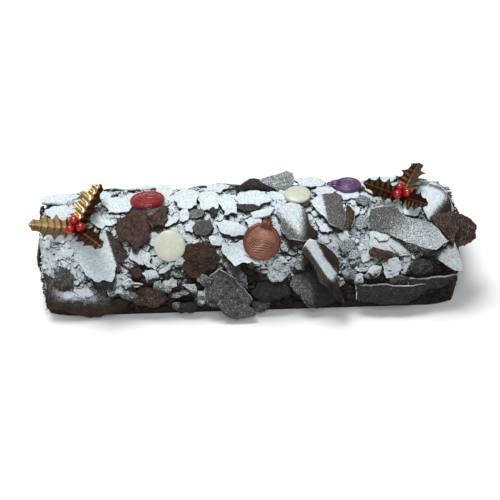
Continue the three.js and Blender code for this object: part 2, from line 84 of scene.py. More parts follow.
# Bark and flakes.
BREAKS = 3  # times that each side of an outline is broken again
LONG_BARK = 40  # a longer piece is broken once more
SHEET_RINGS = 15
FLAKE_BREAKS = 2
LONG_FLAKE = 20
FLAKE_RINGS = 7
FLAKE_BEND = 0.5
BRIGHT_EDGED = ("strip", "sail")  # outlines with a white edge all round
BRIGHT_EDGE = 1.7
SWELL, SWELL_WIDTH = 0.9, 14  # the soft form of a face
RIPPLE, RIPPLE_WIDTH = 0.14, 4
FACET = 5.5  # usual width of the facets on rough bark
FACET_TILT = 2.4
GRIT, GRIT_WIDTH = 0.3, 1.2
DUSTED_ABOVE = 0.8  # bark with more sugar than this has the dusted finish
BARE_BELOW = 0.15  # and with less than this the bare one

# Toppings.
DISC_RADIUS = 12.5
DISC_THICK = 5
BAUBLE_RADIUS = 15
BAUBLE_THICK = 6
CAP_RADIUS = 5
CAP_LENGTH = 9
CAP_LIFT = 0.8
CAP_FLUTES = 9
FLUTE_DEPTH = 0.14
LOOP_RADIUS = 1.8
LOOP_THICK = 0.7
LINE_DEPTH = 0.4  # of the pressed lines
BERRIES = 3
BERRY_TURN = 100  # degrees to the first berry
BERRY_RADIUS = 4
BERRY_SPREAD = 4.85
BERRY_HEIGHT = 5.5
STEM_RADIUS = 1.8
STEM_HEIGHT = 5
GAP = 0.3
LEAF_HALF_WIDTH = 12
LEAF_LENGTH = 38
LEAF_THICK = 0.6
LEAF_SPINES = 4
SPINE_DEPTH = 0.42
LEAF_FOLD = 0.22
LEAF_DROOP = 4
PLEAT = 5.6  # from one pleat to the next
PLEAT_HEIGHT = 1.1
PLEAT_LEAN = 0.36
RIB_HEIGHT = 0.4
SPINE_LIFT = 1.3

# Sugar.
SKY_REACH = 60  # what is further above than this hides nothing
SHADED = 0.3  # share of the sugar that stays where no sky shows
LEAST_SUGAR = 0.03
MOST_SUGAR = 2
UNEVEN = 0.8  # how far the sugar differs from one scattered piece to the next

# Scattered pieces: how many places are drawn, the kind, the ranges of its length and of its scale in depth,
# and how many degrees it leans.
SCATTERED = {
    "shards": (620, "chip", (8, 14), (0.9, 1.4), 9),
    "loose_flakes": (2700, "chip", (3.5, 8), (0.7, 1.2), 17),
    "small_chips": (4600, "chip", (1.8, 4), (0.6, 1.1), 26),
    "crumbs": (6500, "crumb", (0.7, 1.9), (0.5, 0.9), 40),
}
CHIP_KINDS = 24
CRUMB_KINDS = 10
LOWEST_PLACE = 88  # degrees round from the top
PAST_RIM = 50  # how far in over the end faces they lie
RIM_GAP = (1, 9)  # kept clear on the arch's side of the rim and on the end's
COVER_REACH = 16  # bark no further out than this covers a place

# The camera, in millimetres, aimed at AIM from the front and above.
AIM = Vector((1, 0, 19))
CAMERA_DISTANCE = 1003
CAMERA_ELEVATION = 45
CAMERA_ROLL = 1.8
CAMERA_LENS = 85.9
CAMERA_SENSOR = 36

# Lamps, in metres: name, watts, size, place. They all point at the middle of the base.
LAMPS = [
    ("overhead", 16.5, 0.6, (-0.25, 0.3, 1.3)),
    ("front_fill", 7.5, 1, (-0.3, -1.5, 1)),
    ("gleam", 1.8, 0.25, (0.15, -0.65, 1.2)),
]
SKY_COLOUR = (0.93, 0.96, 1, 1)
SKY_STRENGTH = 0.3
FLOOR_REACH = 3000

# Outlines of the bark, as corners that run clockwise in a square from -OUTLINE_HALF to OUTLINE_HALF.
OUTLINE_HALF = 20
OUTLINES = {
    "shield": [(-20, 2), (-16, 9), (1, 16), (6, 20), (13, 12), (20, -1), (8, -20), (-2, -20)],
    "slab": [(-20, 12), (-10, 20), (13, 18), (20, 0), (15, -18), (-9, -20)],
    "pebble": [(-20, -2), (-17, 12), (-4, 20), (12, 15), (20, 3), (17, -12), (4, -20), (-14, -14)],
    "bean": [(-20, 0), (-13, 18), (6, 20), (19, 6), (20, -10), (8, -20), (-14, -16)],
    "patch": [(-20, -1), (-9, 15), (4, 20), (15, 15), (20, 2), (12, -10), (-2, -20), (-9, -11)],
    "torn": [(-20, 1), (-17, 11), (-1, 20), (19, 12), (20, 0), (17, -12), (4, -20), (-12, -12)],
    "notched": [(-7, 11), (2, 20), (20, 18), (18, -2), (10, -17), (-13, -20), (-20, -12)],
    "star": [(-20, 19), (2, 20), (5, 1), (20, -18), (1, -14), (-6, -20), (-15, -7), (-20, 2)],
    "wedge": [(-20, 17), (-9, 20), (19, -5), (20, -20), (3, -12), (-14, 3)],
    "sail": [(-20, 6), (-8, 20), (7, 7), (20, -12), (17, -20), (2, -17), (-10, -20), (-20, -17)],
    "fan": [(-20, 6), (-17, 16), (-9, 20), (1, 20), (10, 10), (20, -8), (1, -20), (-7, -17)],
    "corner": [(-20, -2), (-19, 12), (-8, 20), (0, 17), (20, 4), (13, -13), (2, -20), (-7, -16)],
    "fold": [(-20, 14), (-9, 20), (17, 20), (17, 6), (20, -2), (15, -20), (-1, -14), (-15, 2)],
    "trough": [(-20, 0), (-15, 14), (-6, 20), (2, 10), (8, -4), (20, -12), (0, -20), (-19, -16)],
    "blade": [(-20, 5), (-10, 20), (-5, 12), (13, 13), (20, 4), (16, -12), (-10, -15), (-17, -20)],
    "crest": [(-20, 16), (-12, 20), (7, 14), (18, -3), (20, -10), (-7, -20), (-16, -9)],
    "strip": [(-20, 20), (0, 15), (20, 12), (17, 0), (7, -20), (-5, -19), (-20, -8)],
    "hull": [(-20, 20), (-7, 8), (2, 17), (14, 7), (20, -2), (16, -13), (-2, -20), (-17, -16)],
    "tooth": [(-20, 3), (2, 15), (8, 20), (14, 7), (20, -20), (12, -18), (-3, -8)],
    "oval": [(-20, 6), (-10, 19), (4, 20), (17, 14), (20, -3), (12, -17), (-2, -20), (-16, -12)],
    "mound": [(-20, 13), (-12, 20), (1, 17), (12, 10), (20, -4), (18, -10), (5, -20), (-12, -4)],
    "curl": [(-20, 4), (-3, 11), (12, 20), (19, 10), (20, -4), (10, -20), (-1, -19)],
    "brown": [(-13, 9), (1, 20), (14, 14), (19, -3), (20, -20), (11, -19), (-3, -11), (-20, -2)],
    "flap": [(-20, -7), (-7, 4), (0, 20), (10, 15), (20, -8), (20, -20), (-1, -12)],
}

# How ragged an outline's edge breaks, how rough its face is and how thick it is. The rest are EVEN.
EVEN = (0.17, 0.3, 1.6)
BREAKAGE = {
    "torn": (0.22, 0.9, 2), "notched": (0.2, 0.9, 1.8), "patch": (0.22, 0.9, 1.8),
    "hull": (0.1, 0.5, 1.8), "strip": (0.06, 0.3, 2.6), "trough": (0.06, 0.25, 2.2),
    "blade": (0.07, 0.2, 2), "sail": (0.09, 0.45, 1.8), "fan": (0.1, 0.35, 1.8),
    "curl": (0.06, 0.2, 1.6), "flap": (0.08, 0.4, 1.6), "mound": (0.06, 0.15, 1.6),
    "fold": (0.08, 0.2, 1.8), "corner": (0.12, 0.25, 1.8), "tooth": (0.06, 0.2, 1.6),
    "oval": (0.15, 0.25, 1.6),
}

# The large bark, as in the part's source: name, along, around, lift, turn, tip, rear, long, wide, outline,
# curl, sweep, sugar.
BARK_ROWS = [
    ("slab_left_top", -152, 3, 1.5, 0, 0, 0, 24, 18, "slab", 1, 1, 0.95),
    ("curl_back_left", -152, -12, 3, 2, 12, 0, 32, 12, "strip", 1, 1, 0.9),
    ("plate_left", -118, 43, 4.5, 0, -4, 7, 42, 41, "shield", 0.5, 3, 1.15),
    ("round_left_low", -149, 60, 2, 0, -6, 0, 17, 20, "pebble", 1.5, 0.5, 0.36),
    ("band_left_low", -133, 76, 2.5, -8, -12, 0, 71, 34, "hull", 3, 3, 1.02),
    ("slab_left_low", -107, 66, 3, -4, -6, 0, 26, 19, "slab", 0.5, 0.5, 0.8),
    ("torn_bare_left", -92, 22, 4.5, 0, -4, 0, 29, 35, "torn", 1.5, 1, 0.01),
    ("notched_bare_left", -71, 13, 4.5, 0, -4, 0, 16, 21, "notched", 0.5, 0.5, 0.05),
    ("slab_top_left", -49, -4, 4, 0, 0, 0, 21, 27, "pebble", 1, 0.5, 0.97),
    ("peak_top_left", -68, -15, 3, 0, 18, 0, 14, 20, "slab", 0.5, 0.5, 0.9),
    ("slab_top_low", -31, -2, 2.5, 0, 0, 0, 18, 23, "slab", 0.5, 0.5, 0.97),
    ("slab_top_mid", -15, 3, 3.5, 0, -3, 0, 18, 24, "slab", 0.5, 0.5, 0.97),
    ("slab_top_round", 4, -1, 4.5, 0, 0, 0, 29, 19, "bean", 1, 0.5, 0.97),
    ("flap_back_mid", 3, -16, 6, 2, 55, 4, 42, 12, "flap", 2, 1, 0.2),
    ("curl_back_mid", 25, -17, 9, 6, 45, 4, 29, 18, "curl", 3, 0.5, 0.6),
    ("lump_mid", -13, 24, 4, -15, 0, 0, 25, 12, "bean", 1, 0.5, 0.97),
    ("patch_bare_mid", -42.5, 49, 3, 0, 0, 0, 39, 29, "patch", 1.5, 1.5, 0.01),
    ("star_mid", -6, 44, 5, 0, -8, 0, 30, 21, "star", -2, -1, 0.95),
    ("wedge_mid", -11, 60, 2.5, 0, 0, 0, 19, 30, "wedge", 0.5, 0.5, 0.6),
    ("sail_front_mid", -17, 70, 4.5, 0, -14, 0, 37, 34, "sail", 0.5, 2, 0.38),
    ("bean_front_low", 17, 74, 3, 0, -14, 0, 32, 17, "bean", 1, 1, 0.2),
    ("slab_front_mid", 24, 58, 3, 62, 0, 0, 23, 19, "pebble", 0.5, 0.5, 0.75),
    ("corner_right_top", 39, 23, 6, -35, -8, 0, 38, 31, "corner", 1, 1.5, 0.85),
    ("fold_right_top", 65, 14, 6, 0, -4, 0, 27, 34, "fold", 0.5, 2, 0.85),
    ("trough_right", 65, 58, 7, -58, 0, 0, 62, 23, "trough", -8, 1, 1.3),
    ("fan_right", 53, 74, 5, 0, -16, 0, 42, 33, "fan", 1.5, 1.5, 0.42),
    ("blade_right", 127, 30, 6, -24, -2, 0, 67, 27, "blade", 0.5, 1.5, 0.7),
    ("ridge_right", 111, 42, 4, -12, 8, 0, 35, 22, "crest", 1.5, 1, 0.88),
    ("slab_right_low", 113, 59, 3, 0, 0, 0, 17, 19, "slab", 0, 0.5, 0.9),
    ("strip_right_low", 116, 77, 7, 3, -16, 0, 61, 19, "strip", 0.5, 2, 0.2),
    ("strip_right_back", 147, 71, 4, 7, -8, 0, 40, 12, "strip", 0.5, 1, 0.2),
    ("tooth_right_end", 157, 52, 4, -4, -4, 0, 29, 25, "tooth", 0, 1, 0.78),
    ("oval_right_end", 167, 29, 4, -20, 0, -6, 34, 25, "oval", 1, 1.5, 0.14),
    ("slab_right_end", 150, 5, 3, -30, 0, 0, 35, 38, "mound", 3, 4, 1.15),
    ("plate_back_left", -115, -52, 4, 12, 6, 0, 46, 34, "corner", 1, 2, 0.7),
    ("sail_back_left", -62, -66, 4.5, -20, 10, 0, 40, 34, "sail", 0.5, 2, 0.45),
    ("blade_back_mid", -4, -56, 5, 18, 6, 0, 60, 24, "blade", 1, 2, 0.65),
    ("torn_back_right", 52, -62, 4, -8, 4, 0, 36, 34, "torn", 1.5, 1.5, 0.2),
    ("shield_back_right", 112, -50, 5, 20, 6, 0, 44, 36, "shield", 1, 2, 0.75),
    ("strip_back_low", 92, -79, 5, -4, 14, 0, 52, 16, "strip", 1, 2, 0.4),
]

# Creases: on the side of a piece towards HEADING degrees, past OFFSET of its half size, it bends down by
# SLOPE and keeps a SHARE of the sugar, over a band as wide as BLEND.
CREASES = {
    "plate_left": [(15, 0.42, 0.45, 0.2, 0.12)],
    "fold_right_top": [(8, -0.3, 0.15, 0.5, 0.2)],
    "corner_right_top": [(25, 0, 0.12, 0.05, 0.65), (-110, 0.1, 0, 0.5, 0.5)],
    # On trough_right the walls keep less sugar: on its inner wall this is painted shade.
    "trough_right": [(90, 0.1, 0, 0.5, 0.2), (-90, 0.3, 0, 0.2, 0.25), (0, 0, 0, 0.1, 0.4)],
    "fan_right": [(-10, -0.3, 0.1, 0.3, 0.9)],
    "band_left_low": [(-80, -0.45, 0, 0.08, 1.15), (180, 0.35, 0, 0.2, 0.6)],
    "slab_right_end": [(-8, 0.05, 0.3, 0.04, 0.65), (80, 0.35, 0, 0.4, 0.5)],
    "blade_right": [(170, -0.2, 0, 0.6, 0.9)],
    "ridge_right": [(-90, 0.5, 0, 0.3, 0.4)],
    "sail_front_mid": [(60, 0.1, 0, 0.6, 0.7)],
    "shield_back_right": [(160, 0.3, 0.25, 0.4, 0.3)],
    "plate_back_left": [(200, 0.35, 0.2, 0.3, 0.3)],
}

# Patches of the cake where the sugar lies thicker: along, around, half their length, half their arc, more.
PATCHES = [
    (-146, 50, 62, 44, 1.8), (-90, 42, 40, 32, 0.4), (104, 45, 66, 30, 1.6), (28, 54, 34, 24, 0.75),
    (-50, 62, 60, 20, 0.35), (82, 64, 34, 18, 0.5), (-10, 15, 120, 28, 0.2), (60, 0, 120, 30, 0.2),
]

# Smaller flakes set one by one, in groups that each start with the seed of their first flake: along, around,
# lift, turn, tip, rear, long, wide, outline, sugar.
FLAKE_GROUPS = [
    (101, [
        (-116, 12, 3, 20, 0, 0, 20, 17, "star", 1), (-106, -1, 2.5, 0, 0, 0, 26, 19, "slab", 1),
        (-92, -8, 2, 15, 0, 0, 17, 14, "pebble", 1), (-60, 17, 3.5, 70, 8, 0, 12, 10, "wedge", 1),
        (-51, 11, 3, 80, 0, 10, 12, 8, "bean", 0.95), (-41, 10, 3, 10, 0, 0, 13, 9, "oval", 0.45),
        (-28, 9, 3, 40, 0, 0, 8, 8, "notched", 0.2), (-46, 23, 3, 60, 12, 0, 8, 7, "slab", 0.95),
        (-36, 23, 3.5, 10, 0, 0, 17, 13, "oval", 0.35), (-66, 54, 3, 70, 0, 0, 13, 10, "wedge", 0.95),
        (-90, 57, 2, 30, 0, 0, 10, 9, "oval", 0.08), (-94, 65, 4, 30, 10, 0, 15, 12, "star", 0.95),
        (-79, 60, 3, 0, 0, 0, 14, 11, "slab", 0.8), (-88, 42, 2.5, -35, 0, 0, 22, 13, "slab", 1),
        (-80, 50, 2.5, -20, 0, 0, 15, 9, "wedge", 1), (-83, 76, 3, 5, -10, 0, 32, 18, "torn", 0.14),
        (-64, 66, 3, 20, -8, 0, 13, 9, "slab", 0.75), (-70, 68, 4, -30, -12, 0, 16, 9, "blade", 0.6),
        (-58, 74, 3.5, 40, -16, 0, 18, 10, "wedge", 0.55),
        (-98, 73, 3.5, -15, -12, 0, 17, 11, "corner", 0.5), (-74, 80, 3, 65, -12, 0, 14, 9, "wedge", 0.6),
        (-48, 69, 4, -20, -14, 0, 14, 9, "tooth", 0.7), (-42, 77, 3.5, 0, -10, 0, 15, 15, "slab", 0.75),
        (-57, 84, 4, 10, -14, 0, 13, 12, "fan", 0.6), (1, 5, 4, 0, 0, 0, 20, 12, "oval", 0.25),
        (13, 12, 3.5, 18, 0, 0, 20, 8, "strip", 1), (45, 4, 3.5, 0, 0, 0, 12, 8, "bean", 0.08),
        (82, -2, 3, 0, 0, 0, 20, 12, "slab", 1), (92, 23, 3, 60, 8, 0, 15, 11, "corner", 0.6),
        (62, 27, 3, 0, 0, 0, 11, 8, "pebble", 0.9), (78, 41, 3, 0, 0, 0, 14, 12, "slab", 0.6),
        (84, 51, 3, 50, 0, 0, 13, 12, "patch", 0.65), (80, 64, 3, 0, 0, 0, 13, 10, "slab", 0.6),
        (90, 60, 3, 30, 0, 0, 10, 9, "wedge", 0.8), (98, 62, 4, 0, 0, 0, 15, 12, "notched", 0.97),
        (107, 34, 5, 10, 0, 0, 15, 11, "pebble", 1), (105, 47, 5, -10, -30, 0, 20, 8, "bean", 0.06),
        (137, 60, 3, 20, 0, 0, 18, 15, "torn", 0.3), (120, 69, 4, 20, 0, 0, 17, 11, "fan", 0.4),
        (88, 67, 3.5, 80, 0, 0, 11, 8, "slab", 0.8), (-150, 25, 2.5, 0, 0, 0, 20, 13, "pebble", 1),
    ]),
    (144, [
        (-120, 65, 3, 0, 0, 0, 10, 8, "slab", 0.9), (-55, 50, 3, 60, 0, 0, 10, 7, "slab", 0.8),
        (-36, 64, 3, 0, 0, 0, 13, 12, "corner", 0.5), (-26, 34, 3, -10, 0, 0, 12, 8, "slab", 0.85),
        (41, 53, 3, 70, 0, 0, 13, 11, "blade", 0.6), (65, 77, 4, 10, 0, 0, 16, 12, "patch", 0.3),
        (71, 69, 4, 40, 0, 0, 11, 9, "slab", 0.7), (-106, 80, 3, 0, 0, 0, 13, 9, "slab", 0.3),
    ]),
    (153, [
        (-72, 33, 2.5, 30, 0, 0, 14, 10, "slab", 0.8), (28, 14, 3, 10, 0, 0, 14, 11, "slab", 1),
        (30, 38, 3, 60, 0, 0, 13, 9, "blade", 0.7), (5, 21, 3, 0, 0, 0, 16, 10, "slab", 0.95),
        (62, -6, 3, 0, 0, 0, 22, 16, "patch", 1), (106, -8, 3, 0, 0, 0, 24, 15, "slab", 1),
        (-125, -14, 3, 0, 0, 0, 30, 17, "slab", 1), (-25, -20, 3, 20, 8, 0, 24, 17, "patch", 0.97),
        (52, -24, 4, -10, 10, 0, 26, 17, "slab", 0.95), (112, -24, 4, 10, 6, 0, 24, 16, "corner", 0.95),
        (-88, -30, 3, 30, 4, 0, 24, 18, "torn", 0.9), (130, 12, 3, -10, 0, 0, 18, 14, "slab", 1),
        (108, 12, 3, 30, 0, 0, 14, 9, "wedge", 0.8), (81, 18, 4.5, 85, 0, 12, 20, 9, "strip", 0.1),
        (93, 4, 4, 15, 10, 0, 12, 10, "corner", 0.55), (76, 34, 4, 10, 0, 0, 9, 8, "slab", 1),
        (157, 26, 5.5, -30, 0, 0, 26, 23, "brown", 0.12), (51, -23, 4, 0, 20, 0, 26, 13, "slab", 0.97),
    ]),
    (172, [
        (-11, 82.5, 10, -8, -26, 0, 32, 19, "fan", 0.4), (-50, 83, 5.5, 30, -14, 0, 17, 12, "corner", 0.2),
        (8, 84, 5, 20, -20, 0, 20, 12, "corner", 0.35), (-142, -68, 3, 20, 8, 0, 24, 18, "slab", 0.5),
        (-96, -79, 3, -10, 12, 0, 28, 16, "hull", 0.3), (-24, -80, 3, 12, 12, 0, 30, 17, "torn", 0.25),
        (16, -76, 3, -20, 8, 0, 22, 17, "corner", 0.4), (-35, -44, 3, 30, 6, 0, 20, 15, "pebble", 0.8),
        (78, -44, 3, -15, 6, 0, 21, 15, "slab", 0.85), (140, -72, 3, 10, 10, 0, 24, 17, "patch", 0.3),
        (142, -40, 3, 40, 6, 0, 17, 14, "slab", 0.9), (-85, -48, 3, 70, 4, 0, 16, 13, "wedge", 0.7),
        (184, 12, 0.6, 40, 0, 0, 27, 19, "patch", 0.1), (188, -48, 0.6, -20, 0, 0, 24, 17, "slab", 0.2),
        (192, 66, 0.6, 10, 0, 0, 22, 15, "torn", 0.1), (-185, -16, 0.6, 60, 0, 0, 26, 18, "torn", 0.1),
        (-190, 46, 0.6, 15, 0, 0, 23, 17, "slab", 0.3), (-188, -64, 0.6, -30, 0, 0, 22, 16, "corner", 0.2),
    ]),
]

# Flat toppings: along, around, lift, turn of a cap, tip, rear, share of full size.
FLAT_ROWS = {
    "white_disc_front": (-62.5, 36.5, 6, 0, 0, 0, 1),
    "white_disc_top": (41, -3.5, 4, 0, 0, 0, 0.87),
    "bauble_copper": (10.5, 36, 7, 72, 0, 0, 1),
    "bauble_red": (-81, -4, 4, -82, 0, 14, 0.94),
    "bauble_purple": (82.5, -13, 4.5, 172, -3, 0, 0.72),
}

# Holly picks: along, around, and the heading, pitch, roll and share of full size of each leaf.
HOLLY_ROWS = {
    "holly_left": (-137, 20, [(58, 32, 1, 1.03), (189, 16, -58, 0.92), (-51, 13, 12, 0.88)]),
    "holly_right": (124, 2.5, [(64, 11, -13, 1), (178, 28, -40, 0.83), (-59, 27, 48, 0.78)]),
}

# How golden the left and the right half of each leaf are, and how deep its pleats are.
# The dark brown is partly the foil's own tone and partly painted shade on the halves and leaves turned from
# the light.
GILT_AND_SHADE = {
    "holly_left": [(0.85, 0.02, 1), (0.3, 0.8, 0.9), (0.01, 0.01, 0.5)],
    "holly_right": [(0.03, 0.16, 0.25), (0.02, 0.03, 0.4), (0.01, 0.02, 0.5)],
}

# ---- places on the log


def bulge(value):
    """One side of the arch's superellipse."""
    return math.copysign(abs(value) ** (2 / SQUARENESS), value)


def section_scale(along):
    """How much smaller the arch is towards an end."""
    into_end = max(0, abs(along) - (LENGTH / 2 - END_ROUND)) / END_ROUND
    return 1 - END_DROP * into_end**2


def skin_point(along, around):
    """The point on the arch at so many degrees from its top towards its front."""
    angle = math.radians(around)
    scale = section_scale(along)
    rise = 1 + RISE * along / (LENGTH / 2)
    return Vector((
        along,
        -HALF_WIDTH * scale * bulge(math.sin(angle)),
        HEIGHT * scale * rise * bulge(math.cos(angle)),
    ))


def skin_normal(point):
    slope = SQUARENESS - 1
    out = Vector((
        0,
        math.copysign(abs(point.y / HALF_WIDTH) ** slope, point.y) / HALF_WIDTH,
        abs(point.z / HEIGHT) ** slope / HEIGHT,
    ))
    return out.normalized()


def round_from_top(point):
    """Degrees round the arch from its top to its front at a point near the skin."""
    power = SQUARENESS / 2
    across = math.copysign(abs(point.y / HALF_WIDTH) ** power, -point.y)
    return math.degrees(math.atan2(across, max(0, point.z / HEIGHT) ** power))


def spot(along, around, lift):
    """A frame on the skin: X along the log, Z out of it. Past the rim it lies on the end face."""
    side = math.copysign(1, along)
    inward = abs(along) - LENGTH / 2
    point = skin_point(side * LENGTH / 2 if inward > 0 else along, around)
    out = skin_normal(point)
    lengthwise = Vector((1, 0, 0))
    if inward > 0:
        middle = Vector((point.x, 0, END_CENTRE))
        lengthwise = (middle - point).normalized() * side
        point = point.lerp(middle, inward / END_REACH)
        out = Vector((side, 0, 0))
    across = out.cross(lengthwise)
    basis = Matrix((lengthwise, across, out)).transposed().to_4x4()
    return Matrix.Translation(point + out * lift) @ basis


def turned(turn, tip, rear):
    """Rears a piece up at its +X end, tips it over its long side and then turns it on the skin."""
    return (
        Matrix.Rotation(math.radians(turn), 4, "Z")
        @ Matrix.Rotation(math.radians(tip), 4, "X")
        @ Matrix.Rotation(math.radians(-rear), 4, "Y")
    )


def laid(along, around, lift, turn, tip, rear):
    """Where a piece goes: a place on the skin, and how it is turned there."""
    return spot(along, around, lift) @ turned(turn, tip, rear)


# ---- meshes


def smoothstep(low, high, value):
    """0 up to LOW and 1 from HIGH on, with a soft rise between them."""
    t = min(1, max(0, (value - low) / (high - low)))
    return t * t * (3 - 2 * t)


def swept(points, steps, merge):
    """Takes a chain of points a whole turn about Z and joins what meets."""
    bm = bmesh.new()
    spoke = [bm.verts.new(point) for point in points]
    edges = [bm.edges.new(pair) for pair in zip(spoke, spoke[1:])]
    bmesh.ops.spin(bm, geom=spoke + edges, cent=(0, 0, 0), axis=(0, 0, 1), angle=2 * math.pi, steps=steps,
                   use_merge=True)
    bmesh.ops.remove_doubles(bm, verts=bm.verts[:], dist=merge)
    return bm


def spun(profile, steps):
    """A closed solid of revolution about Z, from (radius, height) pairs that start and end on the axis."""
    bm = swept([(radius, 0, height) for radius, height in profile], steps, MERGE)
    bmesh.ops.recalc_face_normals(bm, faces=bm.faces[:])
    return bm


def sheet(rings, steps):
    """An open disc of radius 1, in sectors and in rings that lie closer towards the rim."""
    return swept([(1 - (1 - k / rings) ** 1.35, 0, 0) for k in range(rings + 1)], steps, SHEET_MERGE)


def broken(corners, draw, depth, times):
    """Breaks each side again and again: its middle moves across it by up to DEPTH of its length."""
    for _ in range(times):
        finer = []
        for (x0, y0), (x1, y1) in zip(corners, corners[1:] + corners[:1]):
            shift = draw.uniform(-depth, depth)
            finer += [(x0, y0), ((x0 + x1) / 2 - (y1 - y0) * shift, (y0 + y1) / 2 + (x1 - x0) * shift)]
        corners = finer
    return corners


def mesh_of(name, bm):
    mesh = bpy.data.meshes.new(name)
    bm.to_mesh(mesh)
    bm.free()
    return mesh


def made(name, bm, rounded=True):
    """Turns a bmesh in millimetres into an object in metres, smooth all over where it is rounded."""
    bmesh.ops.scale(bm, vec=(MM, MM, MM), verts=bm.verts[:])
    for face in bm.faces:
        face.smooth = face.smooth or rounded
    piece = bpy.data.objects.new(name, mesh_of(name, bm))
    bpy.context.scene.collection.objects.link(piece)
    return piece


def creased(name, u, v):
    """How far a point of the bark bends down at its creases, in half lengths, and its share of sugar."""
    bend, keep = 0, 1
    for heading, offset, slope, share, blend in CREASES.get(name, []):
        angle = math.radians(heading)
        past = u * math.cos(angle) + v * math.sin(angle) - offset
        bend += slope * max(0, past) ** 2 / (max(0, past) + 0.15)
        keep *= 1 + (share - 1) * smoothstep(0, blend, past)
    return bend, keep


def face_height(flat, rough, shift):
    """How high the face of a piece stands: soft swells, and broken facets where it is rough."""
    soft = noise.noise(flat / SWELL_WIDTH + shift) * SWELL
    soft += noise.noise(flat / RIPPLE_WIDTH - shift) * RIPPLE
    where = flat / FACET + shift
    _, seeds = noise.voronoi(where)
    facet = noise.noise_vector(seeds[0] * 4.3).dot(where - seeds[0]) * FACET_TILT
    facet += noise.noise(seeds[0] * 7.7)
    return soft + rough * (facet + noise.noise(flat / GRIT_WIDTH) * GRIT)


def bark(name, row, rings, breaks, seed):
    """One broken piece: a sheet drawn to its outline, bent, roughened and given thickness."""
    long, wide, outline, curl, sweep, sugar = row
    ragged, rough, thick = BREAKAGE.get(outline, EVEN)
    corners = [(u / OUTLINE_HALF * long / 2, v / OUTLINE_HALF * wide / 2) for u, v in OUTLINES[outline]]
    corners = broken(corners, random.Random(seed), ragged, breaks)
    shift = Vector((seed * 7.3, seed * 3.1, seed * 1.7))
    edge = BRIGHT_EDGE if outline in BRIGHT_EDGED else min(0.99, 1.5 * sugar)
    bm = sheet(rings, len(corners))
    store = bm.verts.layers.float.new("sugar")
    for vertex in bm.verts:
        reach = vertex.co.xy.length
        step = round((1 - math.atan2(vertex.co.y, vertex.co.x) / (2 * math.pi)) * len(corners))
        x, y = corners[step % len(corners)]
        flat = Vector((x * reach, y * reach, 0))
        u, v = flat.x / (long / 2), flat.y / (wide / 2)
        bend, keep = creased(name, u, v)
        drop = curl * v**2 + sweep * u**2 + bend * long / 2
        vertex.co = flat + Vector((0, 0, thick / 2 + face_height(flat, rough, shift) - drop))
        patchy = 1 if edge > 1 else smoothstep(-0.25, 0.2, noise.noise(flat / 9 + shift * 2))
        vertex[store] = sugar * keep if reach < ON_RIM else max(edge * patchy, sugar * keep)
    bmesh.ops.solidify(bm, geom=bm.faces[:], thickness=thick)
    bmesh.ops.recalc_face_normals(bm, faces=bm.faces[:])
    bm.faces.ensure_lookup_table()
    for face in bm.faces[:-len(corners)]:  # the walls come last and stay flat, so that their edges are crisp
        face.smooth = True
    return bm


def set_down(bm, place):
    """Puts a piece in its place, and flattens what would lie under the base of the cake."""
    bmesh.ops.transform(bm, matrix=place, verts=bm.verts[:])
    for vertex in bm.verts:
        vertex.co.z = max(BASE_GAP, vertex.co.z)


# ---- the core


def crackle(point):
    """Height of the broken plates over the cream, from cells round scattered points."""
    warp = noise.noise_vector(point / 11) * 3.2
    where = (point + warp) / PLATE_CELL
    distances, seeds = noise.voronoi(where)
    border = smoothstep(0, CRACK_WIDTH, (distances[1] - distances[0]) + 0.03 * noise.noise(point / 2))
    tilt = noise.noise_vector(seeds[0] * 5.7) * PLATE_TILT * PLATE_CELL
    level = noise.noise(seeds[0] * 9.1) * PLATE_STEP
    return border * (level + tilt.dot(where - seeds[0])) - CRACK_DEPTH * (1 - border)


def rubble(point):
    """Height of the small broken bits between the plates."""
    where = (point + noise.noise_vector(point / 4) * 1.2) / RUBBLE_CELL
    _, seeds = noise.voronoi(where)
    return noise.noise_vector(seeds[0] * 3.1).dot(where - seeds[0]) * 1.8 + noise.noise(seeds[0] * 6.3) * 0.7


def core_offset(point, around):
    """How far the core stands out from the plain log: soft lumps, plates, rubble and grit."""
    swirl = point.x / 9 + 1.7 * math.sin(around / 19)
    lumps = RELIEF * math.sin(swirl) * math.cos(around / 11 + point.x / 23)
    broken_up = smoothstep(-0.15, 0.25, noise.noise(point / 26 + Vector((4, 1, 7))))
    grit = noise.noise(point / 1.7) * 0.3 + noise.noise(point / 4.3) * 0.4
    return lumps + crackle(point) + rubble(point) * (0.35 + 0.65 * broken_up) + grit


def core_vertex(along, turn, reach):
    """Where a vertex of the spun core goes: along the log, over the arch and back under it."""
    segments = ARCH_STEPS + BASE_STEPS
    share = turn * segments / ARCH_STEPS
    base = (share - 1) * ARCH_STEPS / BASE_STEPS
    around = 90 - 180 * min(share, 1)
    rim = skin_point(along, -90 if share > 1 else around)
    if share > 1:
        rim.y *= 1 - 2 * base
    middle = Vector((along, 0, END_CENTRE))
    point = middle.lerp(rim, reach)
    if reach > ON_RIM:
        out, strength = skin_normal(rim), 1
        from_rim = LENGTH / 2 - CAP_ROUND - abs(along)
    else:
        out = Vector((math.copysign(1, along), 0, 0))
        out = (out + skin_normal(rim) * smoothstep(0.8, 1, reach)).normalized()
        strength = END_RELIEF
        from_rim = (1 - reach) * END_REACH
    on_base = share > 1 or share <= 0
    fade = 0 if on_base and reach > 0.97 else min(1, max(0, point.z) / 10)
    fade *= (RIM_RELIEF + (1 - RIM_RELIEF) * smoothstep(0, RIM_FADE, from_rim)) * strength
    moved = point + out * core_offset(point, around) * fade
    return Vector((moved.x, moved.y, max(0, moved.z)))


